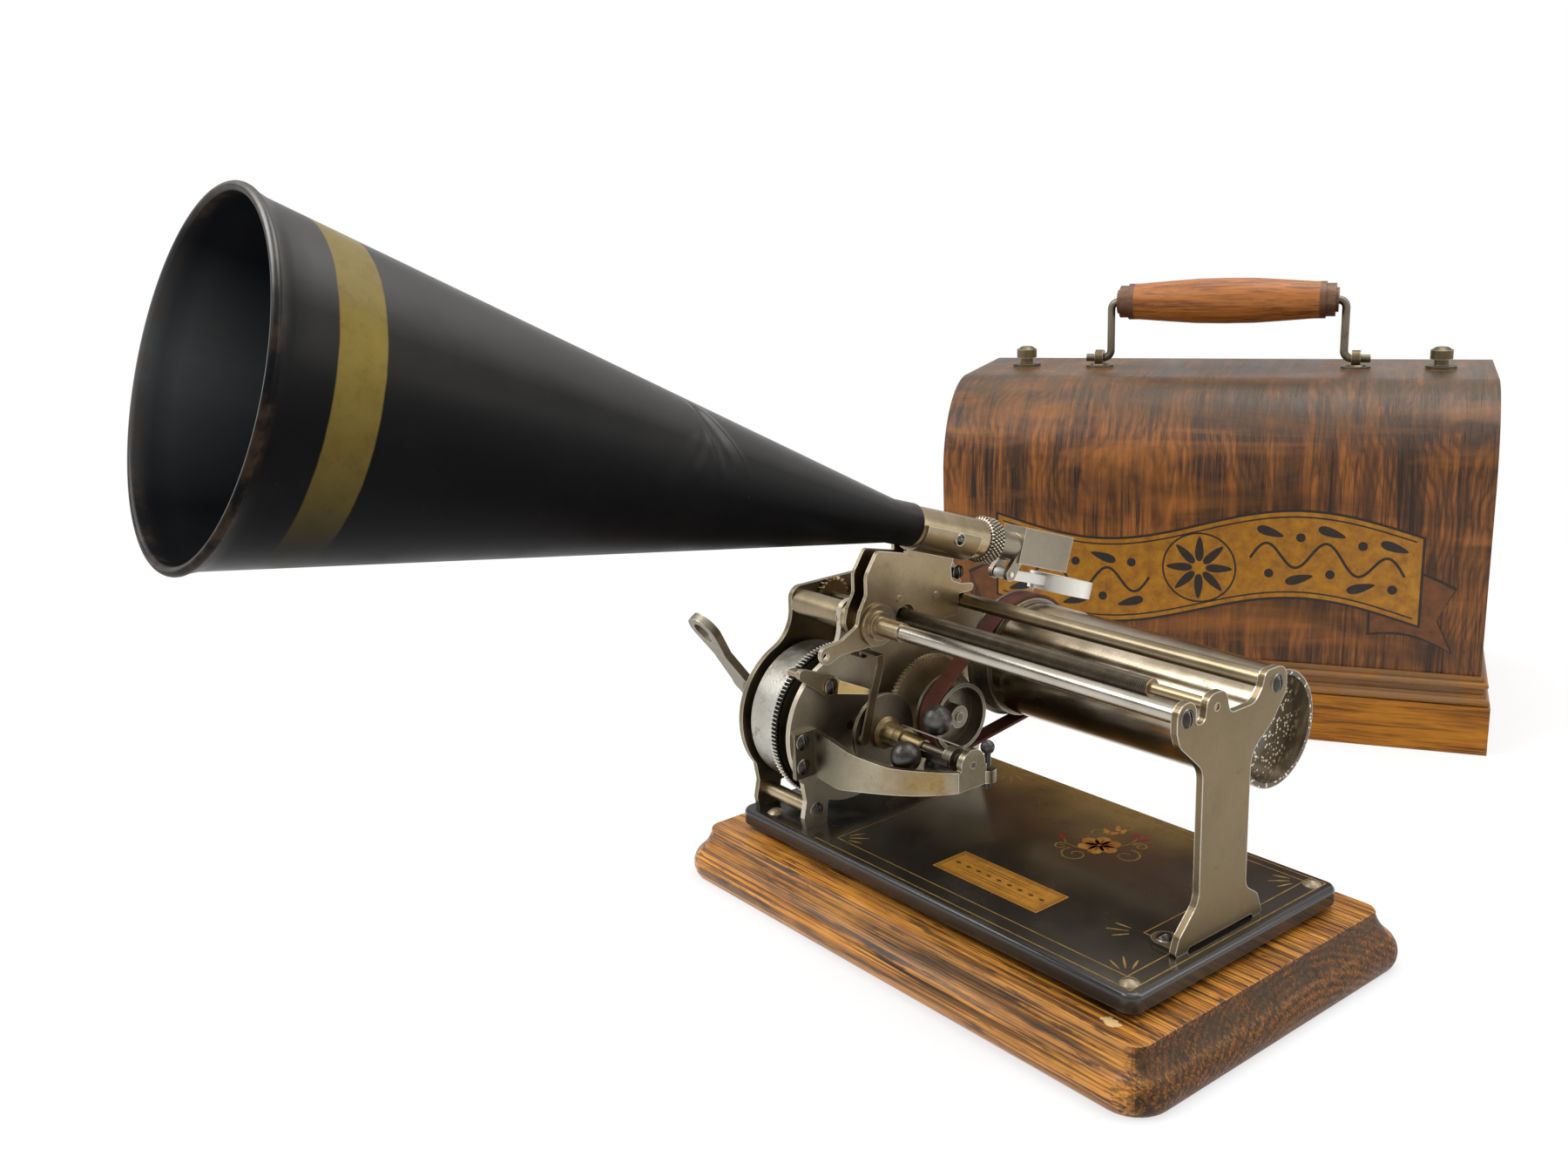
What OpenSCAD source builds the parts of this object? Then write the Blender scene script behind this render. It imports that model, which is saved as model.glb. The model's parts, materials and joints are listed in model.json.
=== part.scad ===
// Cylinder phonograph with a spring motor, a horn and a carrying cover, in millimetres.
// Origin: middle of the base underside. +X runs along the rods to the end post, +Y to the rear, +Z up.
// Outlines marked y,z are drawn in the plane across the rods and extruded along +X.

/* [Base] */
// Length of the wooden base
base_l = 240; // [225:1:260]
// Depth of the wooden base, front to rear
base_w = 150; // [140:1:165]
// Height of the wooden base
base_h = 20; // [17:0.5:26]
// Inset of the flat top from the moulded edge
base_step = 8; // [6:0.5:9]
// Plan radius of the flat top's corners
base_corner = 6; // [4:0.5:9]
// Height of the upright lip above the cove
lip_h = 5; // [4:0.5:7]

/* [Bedplate] */
// Length of the bedplate
bed_l = 203; // [200:1:215]
// Depth of the bedplate
bed_w = 113.4; // [110:0.2:122]
// Height of the bedplate's pan
bed_h = 6.4; // [5:0.2:8]
// Sheet thickness of the pan
bed_t = 2.2; // [1.6:0.1:3]
// Plan radius of the pan's corners
bed_corner = 5; // [4:0.5:8]
// Rounding of the pan's top edge
bed_round = 2; // [1:0.25:2.5]
// Height of the pads between base and pan
pad_h = 2.6; // [1.5:0.1:4]
// Radius of the corner pads
pad_r = 4.5; // [3.5:0.25:6]
// Distance of the corner screws from the pan's edges
bed_screw_in = 7; // [6:0.5:10]
// Distance of the motor-side screws from the pan's left edge
bed_screw_motor = 15; // [13:0.5:20]

/* [Frame] */
// Distance of the outer motor plate from the pan's left edge
motor_in = 3.7; // [3:0.1:6]
// Thickness of the motor plates
plate_t = 2.4; // [1.8:0.1:3]
// Clear space between the motor plates
plate_gap = 28; // [27.5:0.1:30]
// Radius of the round part of the plates about the barrel
plate_r = 31; // [28:0.5:31.5]
// Distance of the end post's outer face from the pan's right edge
post_in = 6.7; // [4:0.1:9]
// Thickness of the end post
post_t = 2.6; // [2:0.1:3.5]
// Height of the rods above the bedplate
rod_h = 81.8; // [80:0.2:86]
// Diameter of the front and rear rods
rod_d = 6; // [5:0.1:7]
// Place of the front rod, front to rear
front_y = -24.6; // [-27:0.2:-23]
// Place of the rear rod, front to rear
rear_y = 22.6; // [20:0.2:23]
// Place of the feed screw, front to rear
feed_y = -9.6; // [-10.5:0.1:-8]
// Diameter of the feed screw over its thread
feed_d = 6.4; // [5.6:0.1:7]
// Diameter of the feed screw's plain ends
feed_end_d = 4; // [3:0.1:4.5]
// Diameter of the spacer tube on the front rod
spacer_d = 11; // [9:0.2:11.4]
// Diameter of the lower pillars
pillar_d = 6.4; // [5:0.2:7]

/* [Motor] */
// Place of the barrel arbor, front to rear
barrel_y = -26.5; // [-27.5:0.1:-25.5]
// Height of the barrel arbor above the bedplate
barrel_h = 37.5; // [36:0.1:40]
// Radius of the spring barrel
barrel_r = 29; // [26:0.5:29.5]
// Wall of the spring barrel
barrel_wall = 1.6; // [1.2:0.1:2.4]
// Radius of the winding arbor
arbor_r = 3; // [2.5:0.1:3.5]
// Module of the motor's gears
gear_m = 0.525; // [0.515:0.005:0.53]
// Teeth of the great gear
great_teeth = 120;
// Teeth of the driven pinions
pinion_teeth = 13;
// Teeth of the second wheel
second_teeth = 64;
// Face width of the great gear
great_face = 3.5; // [2.5:0.1:4]
// Face width of the second wheel
second_face = 2; // [1.5:0.1:2.2]
// Place of the pulley arbor, front to rear
pulley_y = 8.4; // [8:0.1:9]
// Height of the pulley arbor above the bedplate
pulley_h = 38.4; // [38:0.1:39]
// Radius of the belt pulley under the belt
pulley_r = 14; // [12:0.25:14.5]
// Length of the key's wings from the arbor
key_r = 43; // [36:0.5:45]
// Distance of the key's wings from the outer plate
key_out = 37; // [33:0.5:42]
// Thickness of the key's wings
key_t = 3.6; // [2.4:0.1:4.6]
// Turn of the key's wings as drawn
key_turn = 33.5; // [0:0.5:90]

/* [Governor] */
// Teeth of the governor wheel
gov_teeth = 82;
// Teeth of the governor pinion
gov_pinion = 28;
// Direction from the pulley arbor to the governor
gov_angle = 183.8; // [182:0.2:186]
// Radius of the friction disc
disc_r = 15.5; // [13:0.25:15.5]
// Diameter of the governor balls
ball_d = 11.8; // [10:0.1:12]
// Distance of the balls from the governor's axis
ball_orbit = 11.2; // [10.8:0.1:11.4]
// Diameter of the governor shaft
gov_d = 4.2; // [3.6:0.1:4.6]
// Bow of the governor's bracket in front of the shaft
bracket_out = 25.5; // [24.5:0.1:26]

/* [Mandrel] */
// Place of the mandrel, front to rear
mandrel_y = 48; // [47.6:0.1:48.4]
// Height of the mandrel's axis above the bedplate
mandrel_h = 54.5; // [54:0.1:55]
// Length of the mandrel
mandrel_l = 116.5; // [112:0.5:117]
// Radius of the mandrel at its thick end
mandrel_r0 = 23.5; // [23:0.1:23.7]
// Radius of the mandrel at its thin end
mandrel_r1 = 21.7; // [21.2:0.1:22]
// Wall of the mandrel
mandrel_wall = 2; // [1.5:0.1:3]
// Depth of the recess in the mandrel's open end
mandrel_recess = 7; // [4:0.5:10]
// Diameter of the mandrel shaft
shaft_d = 8; // [6:0.2:9]
// Radius of the mandrel pulley under the belt
mandrel_pulley_r = 24.6; // [22:0.2:25]
// Distance of the belt's middle from the inner plate
belt_out = 22.8; // [22.6:0.1:23.2]
// Width of the belt
belt_w = 7.4; // [5:0.2:7.6]
// Thickness of the belt
belt_t = 1.2; // [0.8:0.1:1.5]
// Module of the feed gears
feed_m = 0.7; // [0.69:0.005:0.71]
// Teeth of the mandrel gear and the feed gear
feed_teeth = 22;
// Teeth of the feed idler
idler_teeth = 70;
// Face width of the feed gears
feed_face = 2; // [1.5:0.1:2.2]

/* [Carriage] */
// Length of the carriage sleeve
sleeve_l = 29.8; // [26:0.2:32]
// Radius of the sleeve where the plates ride on it
ride_r = 5; // [4.6:0.1:5.4]
// Radius of the sleeve's flange
flange_r = 8.2; // [7.6:0.1:9]
// Thickness of the carriage plates
side_t = 1.7; // [1.2:0.1:2]
// Distance of the horn tube's middle from the inner plate
tube_out = 16.2; // [16:0.1:16.5]
// Height of the horn tube's front end above the rods
tube_up = 36.4; // [36:0.1:38]
// Place of the horn tube's front end, front to rear
tube_y = -7.2; // [-8:0.1:-6]
// Slope of the horn tube
tube_tilt = 18.4; // [17:0.1:19]
// Outer radius of the horn tube
tube_r = 7.9; // [7.4:0.1:8.2]
// Length of the horn tube behind the horn
tube_l = 38; // [34:0.5:40]
// Radius of the knurled ring
ring_r = 9.4; // [8.8:0.1:10]
// Width of the knurled ring
ring_w = 8; // [6:0.2:9]

/* [Reproducer] */
// Radius of the reproducer's tube
neck_r = 5.6; // [5:0.1:6]
// Length of the reproducer block
block_l = 30; // [26:0.5:31]
// Width of the reproducer block
block_w = 12; // [10:0.5:13]
// Height of the reproducer block
block_h = 15; // [13:0.2:15.6]
// Diameter of the floating weight
weight_d = 26.6; // [24:0.2:28]
// Thickness of the floating weight
weight_t = 7; // [5:0.1:8]

/* [Horn] */
// Length of the horn along its axis
horn_l = 272; // [240:1:280]
// Radius of the horn's mouth
horn_r = 52; // [46:0.5:54]
// Thickness of the horn's sheet
horn_t = 0.6; // [0.5:0.05:1.2]
// Radius of the rolled rim's wire
rim_r = 1.5; // [1:0.1:2]
// Overlap of the horn on the horn tube's spigot
horn_overlap = 12; // [9:0.5:12]

/* [Cover] */
// Length of the cover over its frame
cover_l = 270; // [265:1:285]
// Depth of the cover over its frame
cover_w = 172; // [170:0.5:180]
// Height of the cover
cover_h = 171; // [165:0.5:180]
// Radius of the cover's bends
cover_bend = 46; // [36:0.5:50]
// Thickness of the bent shell
shell_t = 4; // [3:0.2:5]
// Thickness of the end boards
end_t = 5; // [4:0.2:6]
// Thickness of the frame strip
strip_t = 4.8; // [4:0.1:6]
// Height of the frame strip
strip_h = 23.5; // [18:0.5:28]
// Height of the moulding above the strip
trim_h = 14; // [10:0.5:18]
// Place of the cover's middle along the rods
cover_x = -116; // [-130:0.5:-100]
// Place of the cover's middle, front to rear
cover_y = 281; // [275:0.5:300]
// Turn of the cover as it stands
cover_turn = 29.7; // [25:0.1:32]
// Distance between the eyebolts
eye_gap = 130; // [124:0.5:140]
// Height of the handle's pivots above the cover
eye_up = 5; // [4.5:0.1:7]
// Height of the grip above the pivots
grip_up = 29.7; // [26:0.1:34]
// Length of the turned grip without its ferrules
grip_l = 96; // [80:0.5:100]
// Radius of the grip in its middle
grip_r = 11.7; // [9:0.1:12.5]
// Radius of the grip at its ends
grip_end_r = 8.8; // [7:0.1:9.5]
// Distance of the bails beyond the grip's ends
bail_out = 11; // [10.5:0.1:12]
// Diameter of the bail wire
wire_d = 4; // [3:0.1:4.6]
// Distance of the knurled studs from the cover's middle
stud_x = 105; // [100:0.5:115]
// Height of a knurled stud
stud_h = 10.9; // [9:0.1:12]

/* [Clearances] */
// Running clearance of shafts in their bores
run = 0.05; // [0.03:0.01:0.08]
// Gap between pieces that sit beside each other
seat = 0.3; // [0.2:0.05:0.4]
// Space kept between wheels and plates
side_gap = 0.5; // [0.4:0.1:0.6]

/* [Hidden] */
$fn = 72;
bed_top = base_h + pad_h + bed_h;
rod_z = bed_top + rod_h;
// Points y,z of every axis across the rods
pf = [front_y, rod_z];
pr = [rear_y, rod_z];
ps = [feed_y, rod_z];
pb = [barrel_y, bed_top + barrel_h];
pp = [pulley_y, bed_top + pulley_h];
pm = [mandrel_y, bed_top + mandrel_h];
great_d = (great_teeth + pinion_teeth) * gear_m / 2;
second_d = (second_teeth + pinion_teeth) * gear_m / 2;
gov_c = (gov_teeth + gov_pinion) * gear_m / 2;
feed_c = (feed_teeth + idler_teeth) * feed_m / 2;
p2 = meet(pb, great_d, pp, second_d, -1);
pg = pp + gov_c * [cos(gov_angle), sin(gov_angle)];
pi1 = meet(pm, feed_c, ps, feed_c, 1);
// Stations along the rods
motor_x = motor_in - bed_l / 2;
post_x = bed_l / 2 - post_in;
outer_x1 = motor_x + plate_t;
inner_x0 = outer_x1 + plate_gap;
inner_x1 = inner_x0 + plate_t;
post_x0 = post_x - post_t;
feed_x0 = outer_x1 + side_gap;
drum_x0 = feed_x0 + feed_face + 0.6;
great_x1 = inner_x0 - 5.6;
great_x0 = great_x1 - great_face;
second_x0 = great_x1 + 1.5;
wheel_x0 = inner_x1 + 7;
wheel_w = 2.4;
disc_x0 = wheel_x0 + wheel_w + 2.4;
disc_t = 1.5;
belt_x = inner_x1 + belt_out;
tube_x = inner_x1 + tube_out;
pulley_w = belt_w + 0.9;
pulley_x0 = belt_x - pulley_w / 2;
pulley_x1 = belt_x + pulley_w / 2;
mandrel_x0 = pulley_x1 + 0.25;
mandrel_x1 = mandrel_x0 + mandrel_l;
ball_x = disc_x0 + 26;
bear_x0 = disc_x0 + 48;
bear_w = 4;
speed_out = 9;
sleeve_x0 = inner_x1 + seat;
left_side_x = sleeve_x0 + 5.8;
right_side_x = sleeve_x0 + 13.2;
pivot_r = 1.2;
axle_r = 2;
stud_r = 2;
click_p = pb + [0, 17.2];
pinion_tip = pinion_teeth * gear_m / 2 + 0.8 * gear_m;
screw_r = 1.5;
head_r = 3.3;
foot_f = [-45.5, bed_top + 6.5];
foot_r = [38, bed_top + 7];
brake_p = [pb[0] - 11.8, pb[1] + 19.8];
leaf_p = [front_y + 6.1, rod_z - 15.5];
leaf_t = 0.7;
bracket_y = pg[0] - bracket_out - 6.8;
bracket_p = [[bracket_y, pg[1] + 1.2], [bracket_y, pg[1] - 9]];
lug_y = [front_y + 3, 12];
lug_x = post_x0 - 6;
cross_p = [tube_y + 27.8, rod_z + 11.8];
saddle_r = tube_r + 1.65;
spigot_r = tube_r - 0.9;
bore_r = neck_r + 0.4;
block_s = tube_l + ring_w + 13;
float_s = tube_l + 19;
float_n = -11.5;
shell_l = cover_l - 2 * strip_t - 0.2;
shell_w = cover_w - 2 * strip_t - 0.2;
eye_z = cover_h + eye_up;
bail_x = grip_l / 2 + bail_out;

// Point where two circles about a and b meet, on side s of the line from a to b
function meet(a, ra, b, rb, s) =
  let (d = norm(b - a), t = (ra * ra - rb * rb + d * d) / (2 * d), u = (b - a) / d)
  a + t * u + s * sqrt(ra * ra - t * t) * [-u[1], u[0]];

// Direction from a to b
function dir(a, b) = atan2(b[1] - a[1], b[0] - a[0]);

// Turn of gear j that meshes with gear i, seen from i in direction al
function mesh(al, turn, ni, nj) = al + 180 - (0.5 - (al - turn) * ni / 360) * 360 / nj;

// Unit vector along v
function unit(v) = v / norm(v);

// Arc of radius r that rounds the corner b between a and c
function corner(a, b, c, r) =
  let (u = unit(a - b), w = unit(c - b))
  r == 0 || norm(u + w) < 0.02 ? [b] :
  let (h = acos(u * w) / 2, o = b + unit(u + w) * r / sin(h), p = b + u * r / tan(h) - o,
    q = b + w * r / tan(h) - o, a0 = atan2(p[1], p[0]), turn = (atan2(q[1], q[0]) - a0 + 540) % 360 - 180)
  [for (i = [0:6]) o + r * [cos(a0 + turn * i / 6), sin(a0 + turn * i / 6)]];

// Outline through corners [across, up, radius]
function rounded(p) =
  let (n = len(p), at = [for (q = p) [q[0], q[1]]])
  [for (i = [0:n - 1]) each corner(at[(i + n - 1) % n], at[i], at[(i + 1) % n], p[i][2])];

// Point at t of the curve with four control points
function bez(p, t) =
  pow(1 - t, 3) * p[0] + 3 * t * pow(1 - t, 2) * p[1] + 3 * t * t * (1 - t) * p[2] + pow(t, 3) * p[3];

// Point d beside that curve
function beside(p, t, d) =
  let (u = unit(bez(p, t + 0.01) - bez(p, t - 0.01)))
  bez(p, t) + d * [-u[1], u[0]];

// Corners of one stub tooth
function tooth(n, m, c) =
  let (r = n * m / 2, h = 63 / n, ri = r - 1.1 * m, ro = r + 0.8 * m)
  [for (q = [[ri, -1.35], [ro, -0.5], [ro, 0.5], [ri, 1.35]])
    q[0] * [cos(c + q[1] * h), sin(c + q[1] * h)]];

module gear2d(n, m, turn) {
  polygon([for (k = [0:n - 1]) each tooth(n, m, turn + k * 360 / n)]);
}

// Space between the outer tangents of two circles
module quad2d(a, ra, b, rb) {
  t = acos((ra - rb) / norm(b - a));
  w = dir(a, b);
  qa = ra - 0.01;
  qb = rb - 0.01;
  polygon([a + qa * [cos(w + t), sin(w + t)], b + qb * [cos(w + t), sin(w + t)],
    b + qb * [cos(w - t), sin(w - t)], a + qa * [cos(w - t), sin(w - t)]]);
}

// Two circles joined by their outer tangents
module link2d(a, ra, b, rb) {
  translate(a) circle(ra);
  translate(b) circle(rb);
  quad2d(a, ra, b, rb);
}

// Rectangle with round corners about the origin
module round_rect(l, w, r) {
  square([l - 2 * r, w], center = true);
  square([l, w - 2 * r], center = true);
  for (x = [-1, 1])
    for (y = [-1, 1])
      translate([x * (l / 2 - r), y * (w / 2 - r)]) circle(r);
}

// Outline y,z extruded along the rods
module slab(x0, t) {
  translate([x0, 0, 0]) rotate([90, 0, 90]) linear_extrude(t) children();
}

// Cylinder along the rods about point p
module bar(x0, x1, r, p) {
  translate([x0, p[0], p[1]]) rotate([0, 90, 0]) cylinder(h = x1 - x0, r = r);
}

// Ring-shaped holes' outline at point p
module hole(p, r) {
  translate(p) circle(r);
}

// Domed slotted screw, head on z = 0, shank below
module screw(len, r, hr) {
  difference() {
    union() {
      rotate_extrude() intersection() {
        translate([0, -hr * 0.75]) circle(hr * 1.25);
        square([hr, hr]);
      }
      translate([0, 0, -len]) cylinder(h = len + 0.1, r = r);
    }
    translate([-hr, -0.4, hr * 0.22]) cube([2 * hr, 0.8, hr]);
  }
}

// Screw whose head faces +X, seated at x0
module screw_x(x0, p, len, r, hr) {
  translate([x0, p[0], p[1]]) rotate([0, 90, 0]) screw(len, r, hr);
}

// Block with a moulded edge: children draw the edge profile, c wide
module moulded(l, w, h, c) {
  for (x = [-1, 1])
    for (y = [-1, 1])
      translate([x * (l / 2 - c), y * (w / 2 - c), 0]) rotate_extrude() children();
  for (s = [0, 180])
    rotate([0, 0, s]) {
      translate([l / 2 - c, w / 2 - c, 0]) rotate([90, 0, 0]) linear_extrude(w - 2 * c) children();
      translate([c - l / 2, w / 2 - c, 0]) rotate([90, 0, 90]) linear_extrude(l - 2 * c) children();
    }
  translate([c - l / 2, c - w / 2, 0]) cube([l - 2 * c, w - 2 * c, h]);
}

// Frame of the horn tube: +Z runs down its axis to the rear, -Y is up from it
module on_tube() {
  translate([tube_x, tube_y, rod_z + tube_up]) rotate([-90 - tube_tilt, 0, 0]) children();
}

// Frame of the cover: its middle on the floor, +X along its length
module on_cover() {
  translate([cover_x, cover_y, 0]) rotate([0, 0, cover_turn]) children();
}

// Section of the base's edge, c wide: lip, cove and rounded nose
module base_edge(c) {
  r = base_step - 1;
  top = c - base_step;
  cove_z = base_h - lip_h;
  polygon([[0, 0], [c - 1.6, 0], [c - 0.5, 0.5], [c, 1.6], [c, cove_z - r - 1.4],
    [c - 0.3, cove_z - r - 0.4],
    for (a = [270:-10:180]) [top + r + r * cos(a), cove_z + r * sin(a)],
    [top, base_h - 1.2], [top - 0.35, base_h - 0.35], [top - 1.2, base_h], [0, base_h]]);
}

module wood_base() color([0.55, 0.3, 0.12]) {
  c = base_step + base_corner;
  difference() {
    moulded(base_l, base_w, base_h, c) base_edge(c);
    for (p = bed_holes())
      translate([p[0], p[1], base_h - 8]) cylinder(h = 9, r = screw_r + run);
  }
}

function bed_holes() = [for (x = [bed_screw_motor - bed_l / 2, bed_l / 2 - bed_screw_in])
  for (y = [-1, 1]) [x, y * (bed_w / 2 - bed_screw_in)]];

module bedplate() color([0.05, 0.05, 0.05]) {
  difference() {
    translate([0, 0, bed_top - bed_h])
      moulded(bed_l, bed_w, bed_h, bed_corner) {
        square([bed_corner, bed_h - bed_round]);
        square([bed_corner - bed_round, bed_h]);
        translate([bed_corner - bed_round, bed_h - bed_round]) circle(bed_round);
      }
    translate([0, 0, bed_top - bed_h - 1]) linear_extrude(bed_h - bed_t + 1)
      round_rect(bed_l - 2 * bed_t, bed_w - 2 * bed_t, bed_corner - bed_t + 1);
    for (p = bed_holes())
      translate([p[0], p[1], base_h]) cylinder(h = 30, r = screw_r + run);
    for (y = lug_y)
      translate([lug_x, y, base_h]) cylinder(h = 30, r = screw_r + run);
  }
}

module bedplate_pads() color([0.2, 0.12, 0.08]) {
  for (p = bed_holes())
    translate([p[0], p[1], base_h]) difference() {
      cylinder(h = bed_top - bed_t - base_h, r = pad_r);
      translate([0, 0, -1]) cylinder(h = 30, r = screw_r + run);
    }
}

// Slotted screws of the bedplate, post, plates, bracket, brake and friction leaf
module frame_screws() color([0.25, 0.23, 0.22]) {
  for (p = bed_holes())
    translate([p[0], p[1], bed_top]) rotate([0, 0, 35]) screw(bed_top - base_h + 7, screw_r, head_r);
  for (y = lug_y)
    translate([lug_x, y, bed_top + 2]) rotate([0, 0, 70]) screw(5, screw_r, head_r);
  for (p = [foot_f, foot_r])
    screw_x(inner_x1, p, plate_t + 5, screw_r, head_r);
  for (p = [foot_f, foot_r])
    translate([motor_x, 0, 0]) mirror([1, 0, 0]) screw_x(0, p, plate_t + 5, screw_r, head_r);
  for (p = bracket_p)
    screw_x(inner_x1 + 2.2, p, plate_t + 2.2, screw_r, head_r);
  brake_x = 2 + leaf_t + 2 * seat;
  screw_x(inner_x1 + brake_x, brake_p, plate_t + brake_x, screw_r, head_r);
  screw_x(inner_x1 + leaf_t, leaf_p, plate_t + leaf_t, screw_r, head_r - 0.6);
}

// Body of a motor plate without its holes
module plate(x0) {
  tf = pf + [0, 2];
  tr = pr + [0, 2];
  f = 16;
  fc = [front_y - 5.2 - f, pb[1] + sqrt(pow(plate_r + f, 2) - pow(front_y - 5.2 - f - barrel_y, 2))];
  slab(x0, plate_t) translate(pb) circle(plate_r);
  slab(x0, plate_t) link2d(tf, 5.2, tr, 5.3);
  slab(x0, plate_t) link2d(tr, 5.2, pm, 10);
  slab(x0, plate_t) link2d(pm, 10, foot_r, 7);
  slab(x0, plate_t) polygon([tf, tr, pm, foot_r, [barrel_y, foot_r[1]], pb]);
  slab(x0, plate_t) difference() {
    polygon([[front_y - 5.2, fc[1]], fc, pb + (fc - pb) * plate_r / (plate_r + f), pb, tf,
      tf - [5.2, 0]]);
    translate(fc) circle(f);
  }
  slab(x0, plate_t) translate([foot_r[0] - 7, bed_top]) square([14, 7]);
  slab(x0, plate_t)
    polygon([[foot_f[0] - 5.6, bed_top], [foot_f[0] + 5, bed_top], [foot_f[0] + 6, foot_f[1] + 2],
      [foot_f[0] + 12, foot_f[1] + 6], [foot_f[0] + 2, pb[1] - 6], [foot_f[0] - 7, pb[1] - 12],
      [foot_f[0] - 4.8, foot_f[1] + 5], [foot_f[0] - 6.4, foot_f[1] - 2]]);
}

// Bore along the rods through the plate that starts at x0
module bore(x0, p, r) {
  bar(x0 - 1, x0 + plate_t + 1, r + run, p);
}

module outer_plate() color([0.5, 0.46, 0.38]) {
  difference() {
    plate(motor_x);
    bore(motor_x, pf, rod_d / 2);
    bore(motor_x, ps, feed_end_d / 2);
    bore(motor_x, pb, arbor_r);
    bore(motor_x, p2, pivot_r);
    bore(motor_x, pp, pivot_r);
    bore(motor_x, pm, shaft_d / 2);
    bore(motor_x, pi1, stud_r);
    for (p = [foot_f, foot_r, click_p])
      bore(motor_x, p, screw_r);
  }
}

module inner_plate() color([0.52, 0.47, 0.38]) {
  difference() {
    plate(inner_x0);
    bore(inner_x0, pf, rod_d / 2);
    bore(inner_x0, ps, feed_end_d / 2);
    bore(inner_x0, pb, arbor_r - 1);
    bore(inner_x0, p2, pivot_r);
    bore(inner_x0, pp, axle_r);
    bore(inner_x0, pg, pivot_r);
    bore(inner_x0, pm, shaft_d / 2);
    for (p = [foot_f, foot_r, pr, brake_p, leaf_p, bracket_p[0], bracket_p[1]])
      bore(inner_x0, p, screw_r);
  }
}

module plate_pillars() color([0.45, 0.42, 0.36]) {
  for (p = [foot_f, foot_r])
    difference() {
      bar(outer_x1, inner_x0, pillar_d / 2, p);
      bar(outer_x1 - 1, inner_x0 + 1, screw_r + run, p);
    }
}

module rod_spacer() color([0.5, 0.47, 0.4]) {
  difference() {
    bar(outer_x1, inner_x0, spacer_d / 2, pf);
    bar(outer_x1 - 1, inner_x0 + 1, rod_d / 2 + run, pf);
  }
}

module front_rod() color([0.75, 0.74, 0.7]) {
  difference() {
    bar(motor_x - 1, post_x0, rod_d / 2, pf);
    bar(post_x0 - 7, post_x0 + 1, screw_r + run, pf);
  }
}

module rear_rod() color([0.72, 0.7, 0.64]) {
  difference() {
    bar(inner_x1, post_x0, rod_d / 2, pr);
    bar(post_x0 - 7, post_x0 + 1, screw_r + run, pr);
    bar(inner_x1 - 1, inner_x1 + 7, screw_r + run, pr);
  }
}

module end_post() color([0.55, 0.49, 0.38]) {
  z = bed_top;
  stem = [-15.8, 9.6];
  outline = [[front_y - 5, rod_z + 5.2, 4.8], [front_y + 4.4, rod_z + 5.2, 4.2],
    [front_y + 4.4, rod_z - 3.6, 2], [feed_y - 6, rod_z - 3.6, 2.2],
    [feed_y - 5, rod_z + 5, 4.4], [feed_y + 4.6, rod_z + 5, 4.2],
    [feed_y + 7, rod_z - 3.8, 3], [rear_y - 12, rod_z - 3.8, 5], [rear_y - 8.4, rod_z + 0.4, 4],
    [rear_y - 6.6, rod_z + 5.8, 3], [rear_y + 5.4, rod_z + 5.8, 4.9], [rear_y + 5.2, rod_z - 4, 5],
    [rear_y - 2, rod_z - 13, 14], [stem[1], z + 61, 10], [stem[1], z + 13, 5],
    [16.5, z + 8.4, 4], [19.6, z, 1], [14.4, z, 0.6], [13.6, z + 1.4, 0.6],
    [front_y + 4.6, z + 1.4, 0.6], [front_y + 3.8, z, 0.6], [front_y - 3, z, 1], [front_y - 1, z + 6, 4],
    [stem[0], z + 16, 8], [stem[0], z + 62, 8], [front_y - 3.4, rod_z - 9, 5], [front_y - 5, rod_z - 4, 4]];
  slab(post_x0, post_t) difference() {
    polygon(rounded(outline));
    hole(pf, screw_r + run);
    hole(pr, screw_r + run);
    hole(ps, pivot_r + run);
  }
  for (y = lug_y)
    translate([0, 0, bed_top]) linear_extrude(2) difference() {
      union() {
        translate([lug_x, y]) circle(4.6);
        translate([lug_x, y - 4.6]) square([post_x0 - lug_x + 0.5, 9.2]);
      }
      translate([lug_x, y]) circle(screw_r + run);
    }
}

module rod_screws() color([0.35, 0.33, 0.3]) {
  for (p = [pf, pr])
    screw_x(post_x, p, post_t + 5, screw_r, head_r);
  translate([inner_x0, 0, 0]) mirror([1, 0, 0]) screw_x(0, pr, plate_t + 5, screw_r, head_r);
}

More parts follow.
